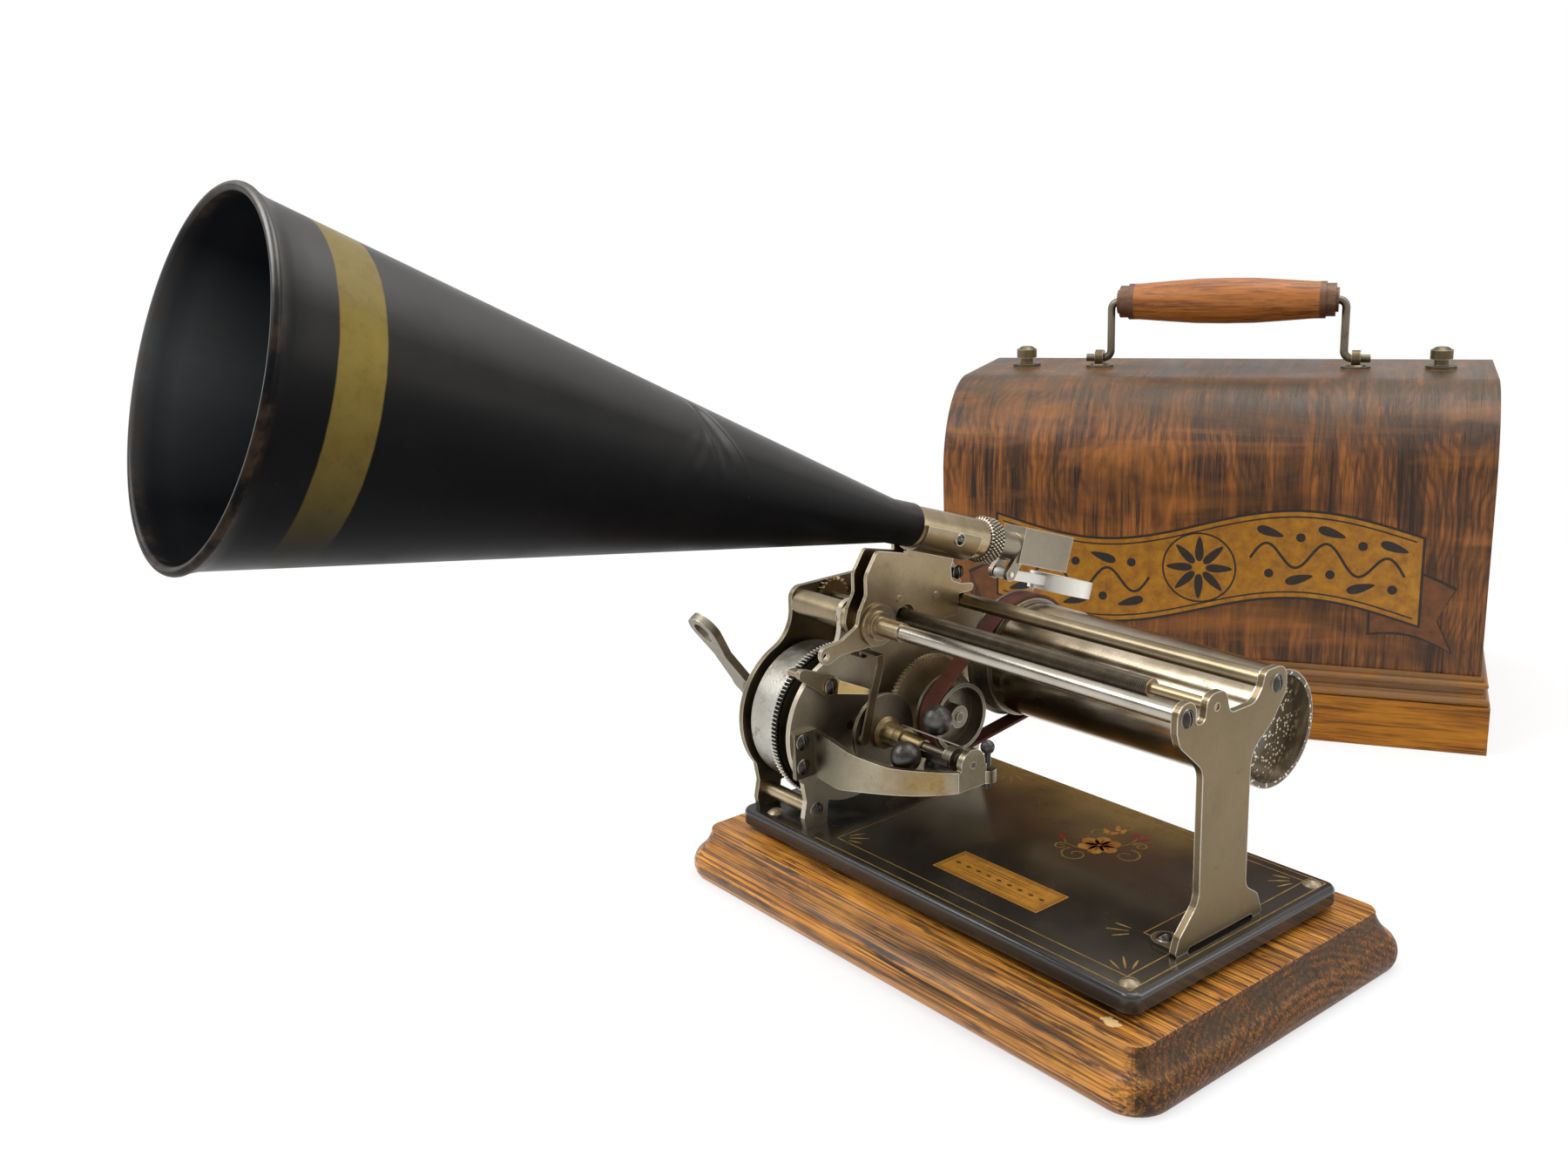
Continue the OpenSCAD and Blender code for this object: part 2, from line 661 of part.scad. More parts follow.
// Bent strap from the inner plate to the governor's end bearing
module governor_bracket() color([0.5, 0.43, 0.33]) {
  xe = bear_x0;
  xm = (inner_x1 + xe) / 2;
  y = pg[0];
  z = pg[1];
  n = 16;
  half = 1.1;
  reach = 40;
  curve = [[inner_x1 + 2, y - bracket_out], [xm - 3, y - bracket_out * 0.8],
    [xe - 11, y - bracket_out + 4.5], [xe + 1.2, y - 7]];
  intersection() {
    translate([0, 0, z - reach / 2]) linear_extrude(reach)
      polygon([for (i = [0:n]) beside(curve, i / n, half),
        for (i = [n:-1:0]) beside(curve, i / n, -half)]);
    translate([0, y, 0]) rotate([90, 0, 0]) linear_extrude(reach)
      polygon(rounded([[inner_x1, z - 14, 0], [xm - 17, z - 17.6, 14], [xe + 3, z - 9, 1],
        [xe + 3, z - 1, 1], [xe - 6, z - 1, 4], [xm + 8, z - 2.4, 20], [xm - 10, z - 1.2, 14],
        [inner_x1, z + 5.4, 0]]));
  }
  slab(inner_x1, 2.2) difference() {
    translate([y - bracket_out - 10.7, z - 13.6]) square([11.2, 18.6]);
    for (p = bracket_p)
      hole(p, screw_r + run);
  }
  difference() {
    union() {
      slab(xe, bear_w - 1.5) difference() {
        union() {
          translate([y - 7.6, z - 9]) square([14.6, 8]);
          translate(pg) circle(6.2);
        }
        hole(pg, pivot_r + run);
      }
      translate([xe + 1, y + speed_out, z - 9]) cylinder(h = 5, r = 3.2);
    }
    translate([xe + 1, y + speed_out, z - 20]) cylinder(h = 30, r = 1.2 + run);
  }
}

module speed_screw() color([0.06, 0.06, 0.06]) {
  translate([bear_x0 + 1, pg[0] + speed_out, pg[1]]) {
    translate([0, 0, -12]) cylinder(h = 15, r = 1.2);
    translate([0, 0, 4.4]) sphere(2.7);
  }
}

// Leaf that holds a pad against the friction disc
module friction_leaf() color([0.5, 0.36, 0.2]) {
  w = 1.8;
  x1 = disc_x0 + disc_t + seat + 1.2;
  y = front_y + 1.2;
  top = leaf_p[1] + 3;
  mid = pg + [-6.8, 17.8];
  pad = pg + [-11.8, 0];
  difference() {
    union() {
      slab(inner_x1, leaf_t) link2d(leaf_p, 2.8, [y, top - w], w);
      translate([inner_x1, y - w, top - leaf_t]) cube([x1 + leaf_t - inner_x1, 2 * w, leaf_t]);
      slab(x1, leaf_t) translate([y - w, top - 5]) square([2 * w, 5]);
      slab(x1, leaf_t) link2d([y, top - 4], w, mid, w + 0.1);
      slab(x1, leaf_t) link2d(mid, w + 0.1, pad, w + 0.4);
      bar(x1 - 1.2, x1 + 0.2, 2.4, pad);
    }
    bar(inner_x1 - 1, inner_x1 + 3, screw_r + run, leaf_p);
  }
}

module brake_lever() color([0.6, 0.57, 0.5]) {
  tab = brake_p + [-12.6, 7.2];
  difference() {
    union() {
      slab(inner_x1 + seat, 2) link2d(brake_p, 4.4, tab, 2.4);
      slab(inner_x0 - 3, plate_t + 4.4) translate(tab) round_rect(4.6, 2.4, 1.1);
    }
    bar(inner_x1 - 1, inner_x1 + 4, screw_r + run, brake_p);
  }
}

// Brass leaf of the brake, bent out to the edge of the friction disc
module brake_leaf() color([0.7, 0.52, 0.22]) {
  x0 = inner_x1 + seat + 2;
  root = [x0 + 0.1, brake_p[0] + 4.2, brake_p[1] - 1.4];
  v = [disc_x0 + disc_t / 2, pg[0] - 2.6, pg[1] + disc_r + 1.2] - root;
  l = norm(v);
  difference() {
    union() {
      slab(x0, leaf_t) link2d(brake_p, 3.8, [root[1], root[2]], 2.6);
      translate(root) rotate([atan2(v[2], v[1]), 0, 0]) rotate([0, 0, -asin(v[0] / l)])
        rotate([90, 0, 90]) linear_extrude(leaf_t) polygon([[0, -2.7], [l, -0.6], [l, 0.6], [0, 2.7]]);
    }
    bar(x0 - 1, x0 + 2, screw_r + run, brake_p);
  }
}

module click_pawl() color([0.4, 0.38, 0.34]) {
  p = click_p;
  difference() {
    slab(motor_x - 3, 2.6) link2d(p, 3, pb + 11.2 * [cos(62), sin(62)], 0.8);
    bar(motor_x - 6, motor_x + 1, screw_r + run, p);
  }
  translate([motor_x - 3, 0, 0]) mirror([1, 0, 0]) screw_x(0, p, 5, screw_r, head_r - 0.6);
}

// Wing key on a square-ended socket
module winding_key() color([0.36, 0.3, 0.22]) {
  x = motor_x - key_out;
  translate([0, pb[0], pb[1]]) rotate([key_turn, 0, 0]) {
    difference() {
      rotate([0, 90, 0]) translate([0, 0, x + 4]) cylinder(h = key_out - 15, r = 4.8);
      rotate([0, 90, 0]) translate([0, 0, x + 9]) cylinder(h = key_out, r = arbor_r + run);
    }
    translate([0, key_t / 2, 0]) rotate([90, 0, 0]) linear_extrude(key_t) difference() {
      union() {
        link2d([x + 5, 0], 6, [x, 0], 6);
        for (s = [-1, 1]) {
          link2d([x + 1, s * 4], 6, [x, s * (key_r - 25)], 4.4);
          link2d([x, s * (key_r - 25)], 3.4, [x, s * (key_r - 8)], 8);
        }
      }
      for (s = [-1, 1])
        link2d([x, s * (key_r - 11)], 3, [x, s * (key_r - 7.6)], 4.4);
      translate([x + 9, -arbor_r - run]) square([20, 2 * (arbor_r + run)]);
    }
  }
}

module winding_arbor() color([0.6, 0.6, 0.58]) {
  bar(motor_x - key_out + 9.5, inner_x0 - seat, arbor_r, pb);
  bar(inner_x0 - 1, inner_x1, arbor_r - 1, pb);
}

module ratchet_wheel() color([0.42, 0.4, 0.36]) {
  n = 24;
  slab(motor_x - 3.2, 2.9) translate(pb) difference() {
    polygon([for (k = [0:n - 1]) each [10.2 * [cos(k * 15), sin(k * 15)],
      8.6 * [cos(k * 15 + 1.5), sin(k * 15 + 1.5)]]]);
    circle(arbor_r + 0.02);
  }
}

module spring_barrel() color([0.5, 0.5, 0.48]) {
  difference() {
    bar(drum_x0, great_x0, barrel_r, pb);
    bar(drum_x0 + barrel_wall, great_x0 + 1, barrel_r - barrel_wall, pb);
    bar(drum_x0 - 1, great_x0, arbor_r + run, pb);
  }
}

module great_gear() color([0.62, 0.58, 0.46]) {
  slab(great_x0, great_face) difference() {
    translate(pb) gear2d(great_teeth, gear_m, 0);
    hole(pb, arbor_r + run);
  }
}

module mainspring() color([0.3, 0.3, 0.32]) {
  turns = 7;
  n = 24 * turns;
  ri = arbor_r + 2.5;
  ro = barrel_r - barrel_wall - 1;
  r = [for (i = [0:n]) ri + (ro - ri) * i / n];
  slab(drum_x0 + barrel_wall + 0.4, great_x0 - drum_x0 - barrel_wall - 0.8) translate(pb)
    polygon([for (i = [0:n]) r[i] * [cos(i * 15), sin(i * 15)],
      for (i = [n:-1:0]) (r[i] + 0.8) * [cos(i * 15), sin(i * 15)]]);
}

module second_arbor() color([0.6, 0.58, 0.52]) {
  bar(motor_x + 0.4, inner_x1 - 0.4, pivot_r, p2);
  bar(outer_x1 + seat, inner_x0 - seat, axle_r, p2);
  slab(great_x0 - 0.4, great_face + 0.8) translate(p2)
    gear2d(pinion_teeth, gear_m, mesh(dir(pb, p2), 0, great_teeth, pinion_teeth));
}

module second_wheel() color([0.66, 0.54, 0.26]) {
  slab(second_x0, second_face) translate(p2) difference() {
    gear2d(second_teeth, gear_m, 0);
    circle(axle_r + 0.02);
    for (a = [0:60:300])
      translate(9.4 * [cos(a), sin(a)]) circle(3.4);
  }
}

module pulley_arbor() color([0.6, 0.58, 0.52]) {
  bar(motor_x + 0.4, outer_x1 + 1, pivot_r, pp);
  bar(outer_x1 + seat, pulley_x1 - 0.5, axle_r, pp);
  slab(second_x0 - 0.4, second_face + 0.8) translate(pp)
    gear2d(pinion_teeth, gear_m, mesh(dir(p2, pp), 0, second_teeth, pinion_teeth));
}

module governor_wheel() color([0.6, 0.55, 0.42]) {
  slab(wheel_x0, wheel_w) translate(pp) difference() {
    gear2d(gov_teeth, gear_m, 0);
    circle(axle_r + 0.02);
  }
}

module belt_pulley() color([0.42, 0.4, 0.36]) {
  difference() {
    union() {
      bar(pulley_x0, pulley_x1, pulley_r, pp);
      bar(pulley_x0 - 1.2, pulley_x0, pulley_r + belt_t + 0.9, pp);
    }
    difference() {
      bar(pulley_x0 + 1.6, pulley_x1 + 1, pulley_r - 1.6, pp);
      bar(pulley_x0 + 1.6, pulley_x1 - 1, 4.6, pp);
    }
    bar(pulley_x0 - 3, pulley_x1 + 1, axle_r + 0.02, pp);
  }
}

// Solid wrapped by the belt, grown by g and w wide
module belt_wrap(g, w) {
  x0 = belt_x - w / 2;
  bar(x0, x0 + w, mandrel_pulley_r + g, pm);
  bar(x0, x0 + w, pulley_r + g, pp);
  slab(x0, w) quad2d(pm, mandrel_pulley_r + g, pp, pulley_r + g);
}

module drive_belt() color([0.4, 0.2, 0.12]) {
  difference() {
    belt_wrap(seat + belt_t, belt_w);
    belt_wrap(seat, belt_w + 2);
  }
}

module governor_shaft() color([0.66, 0.66, 0.64]) {
  bar(inner_x0 + 0.4, inner_x1 + 1, pivot_r, pg);
  bar(inner_x1 + seat, bear_x0 - seat, gov_d / 2, pg);
  bar(bear_x0 - 1, bear_x0 + bear_w - 1.8, pivot_r, pg);
  bar(ball_x + 12.5, ball_x + 16.5, 4.6, pg);
  slab(wheel_x0 - 0.4, wheel_w + 0.8) translate(pg)
    gear2d(gov_pinion, gear_m, mesh(dir(pp, pg), 0, gov_teeth, gov_pinion));
}

module friction_disc() color([0.12, 0.11, 0.1]) {
  difference() {
    bar(disc_x0, disc_x0 + disc_t, disc_r, pg);
    bar(disc_x0 - 1, disc_x0 + disc_t + 1, gov_d / 2 + 0.02, pg);
  }
}

// Brass sleeve that carries the disc and the left ends of the springs
module governor_hub() color([0.72, 0.55, 0.26]) {
  l = ball_x - 12 - disc_x0 - disc_t;
  bore = gov_d / 2 + 0.02;
  translate([disc_x0 + disc_t, pg[0], pg[1]]) rotate([0, 90, 0]) rotate_extrude()
    polygon([[bore, 0], [6.6, 0], [6.6, 1.6], [5, 2.4], [4.2, l - 4.4], [4.6, l - 4], [4.6, l], [3.5, l],
      [3.2, l + 10], [2.8, l + 10.6], [bore, l + 10.6]]);
}

module governor_balls() color([0.05, 0.05, 0.05]) {
  for (a = [62, 182, 302])
    translate([ball_x, pg[0], pg[1]]) rotate([a - 90, 0, 0]) translate([0, 0, ball_orbit])
      sphere(d = ball_d);
}

module governor_springs() color([0.6, 0.6, 0.58]) {
  for (a = [62, 182, 302])
    translate([ball_x, pg[0], pg[1]]) rotate([a - 90, 0, 0])
      translate([-15.6, -1.4, 4.7]) cube([31.6, 2.8, 0.5]);
}

module mandrel_shell() color([0.5, 0.5, 0.48]) {
  l = mandrel_l;
  w = mandrel_wall;
  k = (mandrel_r1 - mandrel_r0) / l;
  translate([mandrel_x0, pm[0], pm[1]]) rotate([0, 90, 0]) rotate_extrude()
    polygon([[shaft_d / 2 + 0.02, 0], [mandrel_r0, 0], [mandrel_r1, l], [mandrel_r1 - w, l],
      [mandrel_r1 - w - k * mandrel_recess, l - mandrel_recess],
      [shaft_d / 2 + 0.02, l - mandrel_recess], [shaft_d / 2 + 0.02, l - mandrel_recess - 3],
      [mandrel_r1 - w - k * (mandrel_recess + 3), l - mandrel_recess - 3], [mandrel_r0 - w - 0.1, 3],
      [shaft_d / 2 + 0.02, 3]]);
}

module mandrel_shaft() color([0.64, 0.63, 0.6]) {
  bar(motor_x - 1, mandrel_x1 - mandrel_recess, shaft_d / 2, pm);
}

module mandrel_pulley() color([0.44, 0.42, 0.38]) {
  difference() {
    union() {
      bar(pulley_x0, pulley_x1, mandrel_pulley_r, pm);
      bar(pulley_x0 - 1.2, pulley_x0, mandrel_pulley_r + belt_t + 0.5, pm);
    }
    bar(pulley_x0 - 3, pulley_x1 + 1, shaft_d / 2 + 0.02, pm);
  }
}

module mandrel_gear() color([0.66, 0.54, 0.26]) {
  slab(feed_x0, feed_face) translate(pm) difference() {
    gear2d(feed_teeth, feed_m, 0);
    circle(shaft_d / 2 + 0.02);
  }
}

module idler_stud() color([0.4, 0.38, 0.34]) {
  bar(motor_x, feed_x0 + feed_face + 0.3, stud_r, pi1);
  bar(feed_x0 + feed_face + 0.2, feed_x0 + feed_face + 1.4, 3.4, pi1);
}

module feed_idler() color([0.64, 0.53, 0.28]) {
  slab(feed_x0, feed_face) translate(pi1) difference() {
    gear2d(idler_teeth, feed_m, mesh(dir(pm, pi1), 0, feed_teeth, idler_teeth));
    circle(stud_r + run);
    for (a = [0:60:300])
      translate(13.5 * [cos(a), sin(a)]) circle(4.8);
  }
}

module feed_screw() color([0.3, 0.28, 0.25]) {
  bar(motor_x - 0.6, inner_x1 + seat, feed_end_d / 2, ps);
  bar(inner_x1 + seat, post_x0 - 22.8, feed_d / 2, ps);
  bar(post_x0 - 23, post_x0 - seat, feed_end_d / 2, ps);
  bar(post_x0 - 1, post_x - 0.4, pivot_r, ps);
}

module feed_gear() color([0.66, 0.54, 0.26]) {
  ti = mesh(dir(pm, pi1), 0, feed_teeth, idler_teeth);
  slab(feed_x0, feed_face) translate(ps) difference() {
    gear2d(feed_teeth, feed_m, mesh(dir(pi1, ps), ti, idler_teeth, feed_teeth));
    circle(feed_end_d / 2 + 0.02);
  }
}

module carriage_sleeve() color([0.58, 0.55, 0.48]) {
  e = right_side_x + side_t + seat - sleeve_x0;
  translate([sleeve_x0, pf[0], pf[1]]) rotate([0, 90, 0]) rotate_extrude()
    polygon([[rod_d / 2 + run, 0], [ride_r + 1.2, 0], [ride_r + 1.2, 5.5], [ride_r, 5.5], [ride_r, e],
      [flange_r, e], [flange_r, e + 1.4], [5.7, e + 1.4], [5.7, e + 3], [3.7, e + 3], [3.7, sleeve_l],
      [rod_d / 2 + run, sleeve_l]]);
}

// Two plates on the sleeve, joined by the saddle under the horn tube; one has the lift tongue
module carriage_plates() color([0.56, 0.51, 0.42]) {
  near_x = right_side_x + side_t;
  k = tan(tube_tilt);
  top = rod_z + tube_up - (tube_r + 0.8) / cos(tube_tilt);
  hook = rod_z + rod_d / 2 + seat;
  rest_y = rear_y - rod_d / 2 - seat;
  low = rod_z - 5;
  rise = [[front_y - 9.4, rod_z + 1.4, 3], [front_y - 8, rod_z + 6.5, 3], [front_y - 4.4, rod_z + 12.5, 4],
    [front_y - 4.4, rod_z + 20, 6], [front_y + 1.6, rod_z + 28.8, 2.5], [tube_y - 0.8, top - 2, 0.6],
    [tube_y - 0.8, top + 0.8 * k, 0], [tube_y + 24.4, top - 24.4 * k, 0.8]];
  under = [[rear_y + 5.8, rod_z + 6.2, 1.4], [rear_y + 4.4, hook, 1], [rest_y, hook, 0.6],
    [rest_y, low, 1.4], [feed_y + 5, low, 1.2], [feed_y + 5, rod_z + 5, 4.9], [feed_y - 5, rod_z + 5, 4.9],
    [feed_y - 5, low, 1.2], [front_y + 5, rod_z - 8.4, 4]];
  recess = [[tube_y + 22.6, rod_z + 15, 2], [tube_y + 23, rod_z + 9.4, 2.4], [rear_y - 1.2, rod_z + 7.2, 2]];
  tongue = [[front_y - 18, rod_z - 8, 6], [front_y - 26.6, rod_z - 11.4, 3.2],
    [front_y - 29.4, rod_z - 3.6, 3.2], [front_y - 17.4, rod_z - 2.6, 6]];
  tail = [for (q = [[3.8, 2.4], [4, -3.6]]) concat(cross_p + q, 3)];
  difference() {
    union() {
      slab(right_side_x, side_t) polygon(rounded(concat(rise, recess, under, tongue)));
      slab(left_side_x, side_t)
        polygon(rounded(concat(rise, tail, under, [[front_y - 6, rod_z - 8.4, 4]])));
      bar(left_side_x + side_t - 0.1, right_side_x + 0.4, 2.6, cross_p);
      for (p = [ps + [-2.9, 7.9], ps + [16.5, 5.4]])
        bar(near_x - 0.2, near_x + 0.6, 1.3, p);
      on_tube() {
        intersection() {
          translate([0, 0, 1]) cylinder(h = 30, r = saddle_r);
          translate([-20, -1.2, 0]) cube([40, 20, tube_l]);
        }
        translate([left_side_x - tube_x, 1, 3]) cube([side_t, 8.2, 26]);
        translate([tube_r, 1.6, 19]) rotate([0, 90, 0]) cylinder(h = 1.8, r = 2.5);
      }
    }
    bar(left_side_x - 1, near_x + 1, ride_r + run, pf);
    bar(right_side_x - 4.5, near_x, screw_r + run, cross_p);
    bar(right_side_x - 1, near_x + 1, 1.5, pf + [-25.6, -7]);
    on_tube() {
      translate([0, 0, -1]) cylinder(h = tube_l, r = tube_r + run);
      translate([tube_r - 1, 1.6, 19]) rotate([0, 90, 0]) cylinder(h = 5, r = 1 + run);
    }
  }
}

// Tube that carries the horn in front and the reproducer behind
module horn_tube() color([0.7, 0.68, 0.62]) {
  on_tube() difference() {
    union() {
      translate([0, 0, -horn_overlap]) cylinder(h = horn_overlap + 1, r = spigot_r);
      cylinder(h = tube_l, r = tube_r);
    }
    translate([0, 0, -horn_overlap - 1]) cylinder(h = tube_l + horn_overlap + 2, r = bore_r);
  }
}

// Nut on a spring arm that rides on the feed screw
module feed_nut() color([0.6, 0.48, 0.24]) {
  x0 = left_side_x + side_t + 0.1;
  w = right_side_x - x0 - 0.1;
  difference() {
    union() {
      slab(x0, w) translate(ps + [-4, 2]) square([8, 6]);
      slab(x0, w) link2d(ps + [0, 6.6], 1, [6, rod_z + 9.6], 1.6);
    }
    bar(x0 - 1, x0 + w + 1, feed_d / 2 + seat, ps);
  }
}

module clamp_screw() color([0.3, 0.28, 0.26]) {
  screw_x(right_side_x + 0.4, cross_p, 4.4, screw_r, head_r - 0.4);
  on_tube() translate([tube_r + 1.8, 1.6, 19]) rotate([0, 90, 0]) screw(1.4, 1, 2.2);
}

module knurled_ring() color([0.55, 0.53, 0.48]) {
  on_tube() translate([0, 0, tube_l + seat]) rotate_extrude()
    polygon([[neck_r + run, 0], [ring_r - 0.8, 0], [ring_r, 0.8], [ring_r, ring_w - 1.6],
      [ring_r - 0.8, ring_w - 0.8], [ring_r - 2, ring_w], [neck_r + run, ring_w]]);
}

// Reproducer: tube, block and the lugs of the float pivot
module reproducer_body() color([0.8, 0.8, 0.79]) {
  up = block_h * 0.57;
  on_tube() {
    difference() {
      translate([0, 0, tube_l - 10]) cylinder(h = block_s - tube_l + 10.5, r = neck_r);
      translate([0, 0, tube_l - 11]) cylinder(h = block_s - tube_l + 12, r = neck_r - 1.6);
    }
    difference() {
      translate([-block_w / 2, -up, block_s]) cube([block_w, block_h, block_l]);
      translate([0, 0, block_s - 1]) cylinder(h = 9, r = neck_r - 1.6);
    }
    for (x = [-1, 1])
      translate([x * 4.2 - 1, 0, 0]) rotate([90, 0, 90]) linear_extrude(2) difference() {
        link2d([-float_n, float_s], 2.8, [3, block_s + 1.6], 2);
        translate([-float_n, float_s]) circle(1 + run);
        translate([0, float_s - 12]) circle(neck_r + 2);
      }
  }
}

// Floating weight with its arm, pivot pin and stylus bar
module reproducer_weight() color([0.82, 0.82, 0.81]) {
  ws = block_s + block_l + 5;
  wn = block_h * 0.43 + 2;
  on_tube() {
    translate([0, wn, ws]) rotate([-90, 0, 0]) cylinder(h = weight_t, d = weight_d);
    translate([-5.6, -float_n, float_s]) rotate([0, 90, 0]) cylinder(h = 11.2, r = 1);
    translate([-2.8, 0, 0]) rotate([90, 0, 90]) linear_extrude(5.6)
      link2d([-float_n, float_s], 2.2, [wn + 3, ws - 8], 2);
    translate([0, wn + 3, block_s + 18]) rotate([-90, 0, 0])
      cylinder(h = 4.9, r1 = 1.6, r2 = 0.7);
  }
}

module horn() color([0.05, 0.05, 0.05]) {
  r0 = spigot_r + seat;
  k = (horn_r - r0 - 1.2) / (horn_l - horn_overlap);
  on_tube() rotate([180, 0, 0]) rotate_extrude() {
    polygon([[r0, seat], [r0 + 1.2, seat], [r0 + 1.2, horn_overlap], [horn_r, horn_l],
      [horn_r - horn_t, horn_l], [r0 + 0.4, horn_overlap], [r0, horn_overlap - 2]]);
    translate([horn_r, horn_l - rim_r]) circle(rim_r);
  }
}

// Cross-section of the cover, grown inwards by i
module bend2d(i) {
  w = shell_w - 2 * i;
  h = cover_h - i;
  r = cover_bend - i;
  translate([-w / 2, 0]) square([w, h - r]);
  translate([r - w / 2, 0]) square([w - 2 * r, h]);
  for (s = [-1, 1])
    translate([s * (w / 2 - r), h - r]) circle(r);
}

module cover_shell() color([0.28, 0.14, 0.06]) {
  on_cover() translate([-shell_l / 2, 0, 0]) rotate([90, 0, 90]) linear_extrude(shell_l)
    intersection() {
      difference() {
        bend2d(0);
        bend2d(shell_t);
      }
      translate([-shell_w, 1]) square([2 * shell_w, 2 * cover_h]);
    }
}

module cover_ends() color([0.26, 0.13, 0.06]) {
  on_cover() for (s = [0, 1])
    translate([s ? shell_l / 2 - end_t : -shell_l / 2, 0, 0]) rotate([90, 0, 90]) linear_extrude(end_t)
      intersection() {
        bend2d(shell_t + 0.05);
        translate([-shell_w, 1]) square([2 * shell_w, 2 * cover_h]);
      }
}

module cover_frame() color([0.5, 0.26, 0.1]) {
  on_cover() difference() {
    union() {
      translate([-cover_l / 2, -cover_w / 2, 0]) cube([cover_l, cover_w, strip_h]);
      intersection() {
        translate([-cover_l / 2, 0, 0]) rotate([90, 0, 90]) linear_extrude(cover_l) trim2d(cover_w / 2);
        translate([0, cover_w / 2, 0]) rotate([90, 0, 0]) linear_extrude(cover_w) trim2d(cover_l / 2);
      }
    }
    translate([-shell_l / 2 - 0.1, -shell_w / 2 - 0.1, -1])
      cube([shell_l + 0.2, shell_w + 0.2, cover_h]);
  }
}

// Stepped moulding above the strip, half width w
module trim2d(w) {
  for (s = [0, 1])
    mirror([s, 0]) {
      translate([0, strip_h - 1]) square([w - 2.2, trim_h * 0.45]);
      translate([0, strip_h - 1]) square([w - 3.6, trim_h + 1]);
      translate([w - 2.9, strip_h + trim_h * 0.72]) circle(1.5);
      translate([w - 2.4, strip_h + 2]) circle(2);
    }
}

module cover_studs() color([0.7, 0.55, 0.26]) {
  on_cover() for (s = [-1, 1])
    translate([s * stud_x, 0, cover_h]) {
      cylinder(h = 2, r = 7.4);
      translate([0, 0, 1.8]) cylinder(h = 3.4, r = 3.4);
      translate([0, 0, 5]) cylinder(h = stud_h - 6.3, r = 5.4);
      translate([0, 0, stud_h - 1.4]) cylinder(h = 1.4, r1 = 5, r2 = 3);
    }
}

// Washer and eye that carry the ends of the bails
module eyebolts() color([0.68, 0.53, 0.26]) {
  w = 4.4;
  on_cover() for (s = [-1, 1])
    translate([s * eye_gap / 2, 0, cover_h]) {
      cylinder(h = 1.4, r = 7.2);
      translate([0, 0, 1]) cylinder(h = 1, r1 = 5.6, r2 = 4.6);
      difference() {
        union() {
          translate([-w / 2, 0, eye_up]) rotate([0, 90, 0]) cylinder(h = w, r = wire_d / 2 + 2.2);
          translate([-w / 2, -2.8, 0.5]) cube([w, 5.6, eye_up - 1]);
        }
        translate([-w, 0, eye_up]) rotate([0, 90, 0]) cylinder(h = 2 * w, r = wire_d / 2 + 0.06);
      }
    }
}

// Frame of the handle: on the pivots' line at the cover's middle
module on_handle() {
  on_cover() translate([0, 0, eye_z]) children();
}

module handle_bails() color([0.45, 0.44, 0.42]) {
  r = wire_d / 2;
  b = 4;
  out = bail_x + b;
  on_handle() for (s = [0, 180])
    rotate([0, 0, s]) {
      translate([0.2, 0, grip_up]) rotate([0, 90, 0]) cylinder(h = bail_x - b - 0.2, r = r);
      translate([bail_x - b, 0, grip_up - b]) rotate([90, 0, 0]) rotate_extrude(angle = 90)
        translate([b, 0]) circle(r);
      translate([bail_x, 0, b]) cylinder(h = grip_up - 2 * b, r = r);
      translate([out, 0, b]) rotate([90, 0, 0]) rotate([0, 0, 180]) rotate_extrude(angle = 90)
        translate([b, 0]) circle(r);
      translate([out, 0, 0]) rotate([0, 90, 0]) cylinder(h = eye_gap / 2 + 7 - out, r = r);
    }
}

// Turned grip with its two ferrules
module handle_grip() color([0.42, 0.2, 0.1]) {
  g = grip_l / 2;
  on_handle() translate([0, 0, grip_up]) rotate([0, 90, 0]) rotate_extrude() difference() {
    union() {
      polygon([[0, -g], [grip_end_r, -g], [grip_end_r + 0.6, 4 - g], [grip_r - 1, -g * 0.55],
        [grip_r - 0.2, -g * 0.3], [grip_r, 0], [grip_r - 0.2, g * 0.3], [grip_r - 1, g * 0.55],
        [grip_end_r + 0.6, g - 4], [grip_end_r, g], [0, g]]);
      translate([0, -g - 6]) square([grip_end_r - 0.4, grip_l + 12]);
      translate([0, -g - 1.4]) square([grip_end_r + 0.6, grip_l + 2.8]);
      translate([0, -g - 7.4]) square([grip_end_r - 2.6, grip_l + 14.8]);
    }
    translate([-1, -g - 20]) square([1 + wire_d / 2 + 0.06, grip_l + 40]);
  }
}

wood_base();
bedplate();
bedplate_pads();
frame_screws();
outer_plate();
inner_plate();
plate_pillars();
rod_spacer();
front_rod();
rear_rod();
end_post();
rod_screws();
governor_bracket();
speed_screw();
friction_leaf();
brake_lever();
brake_leaf();
click_pawl();
winding_key();
winding_arbor();
ratchet_wheel();
spring_barrel();
great_gear();
mainspring();
second_arbor();
second_wheel();
pulley_arbor();
governor_wheel();
belt_pulley();
drive_belt();
governor_shaft();
friction_disc();
governor_hub();
governor_balls();
governor_springs();
mandrel_shell();
mandrel_shaft();
mandrel_pulley();
mandrel_gear();
idler_stud();
feed_idler();
feed_screw();
feed_gear();
carriage_sleeve();
carriage_plates();
horn_tube();
feed_nut();
clamp_screw();
knurled_ring();
reproducer_body();
reproducer_weight();
horn();
cover_shell();
cover_ends();
cover_frame();
cover_studs();
eyebolts();
handle_bails();
handle_grip();
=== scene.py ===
import bmesh
import bpy
import json
import math
from mathutils import Matrix, Vector


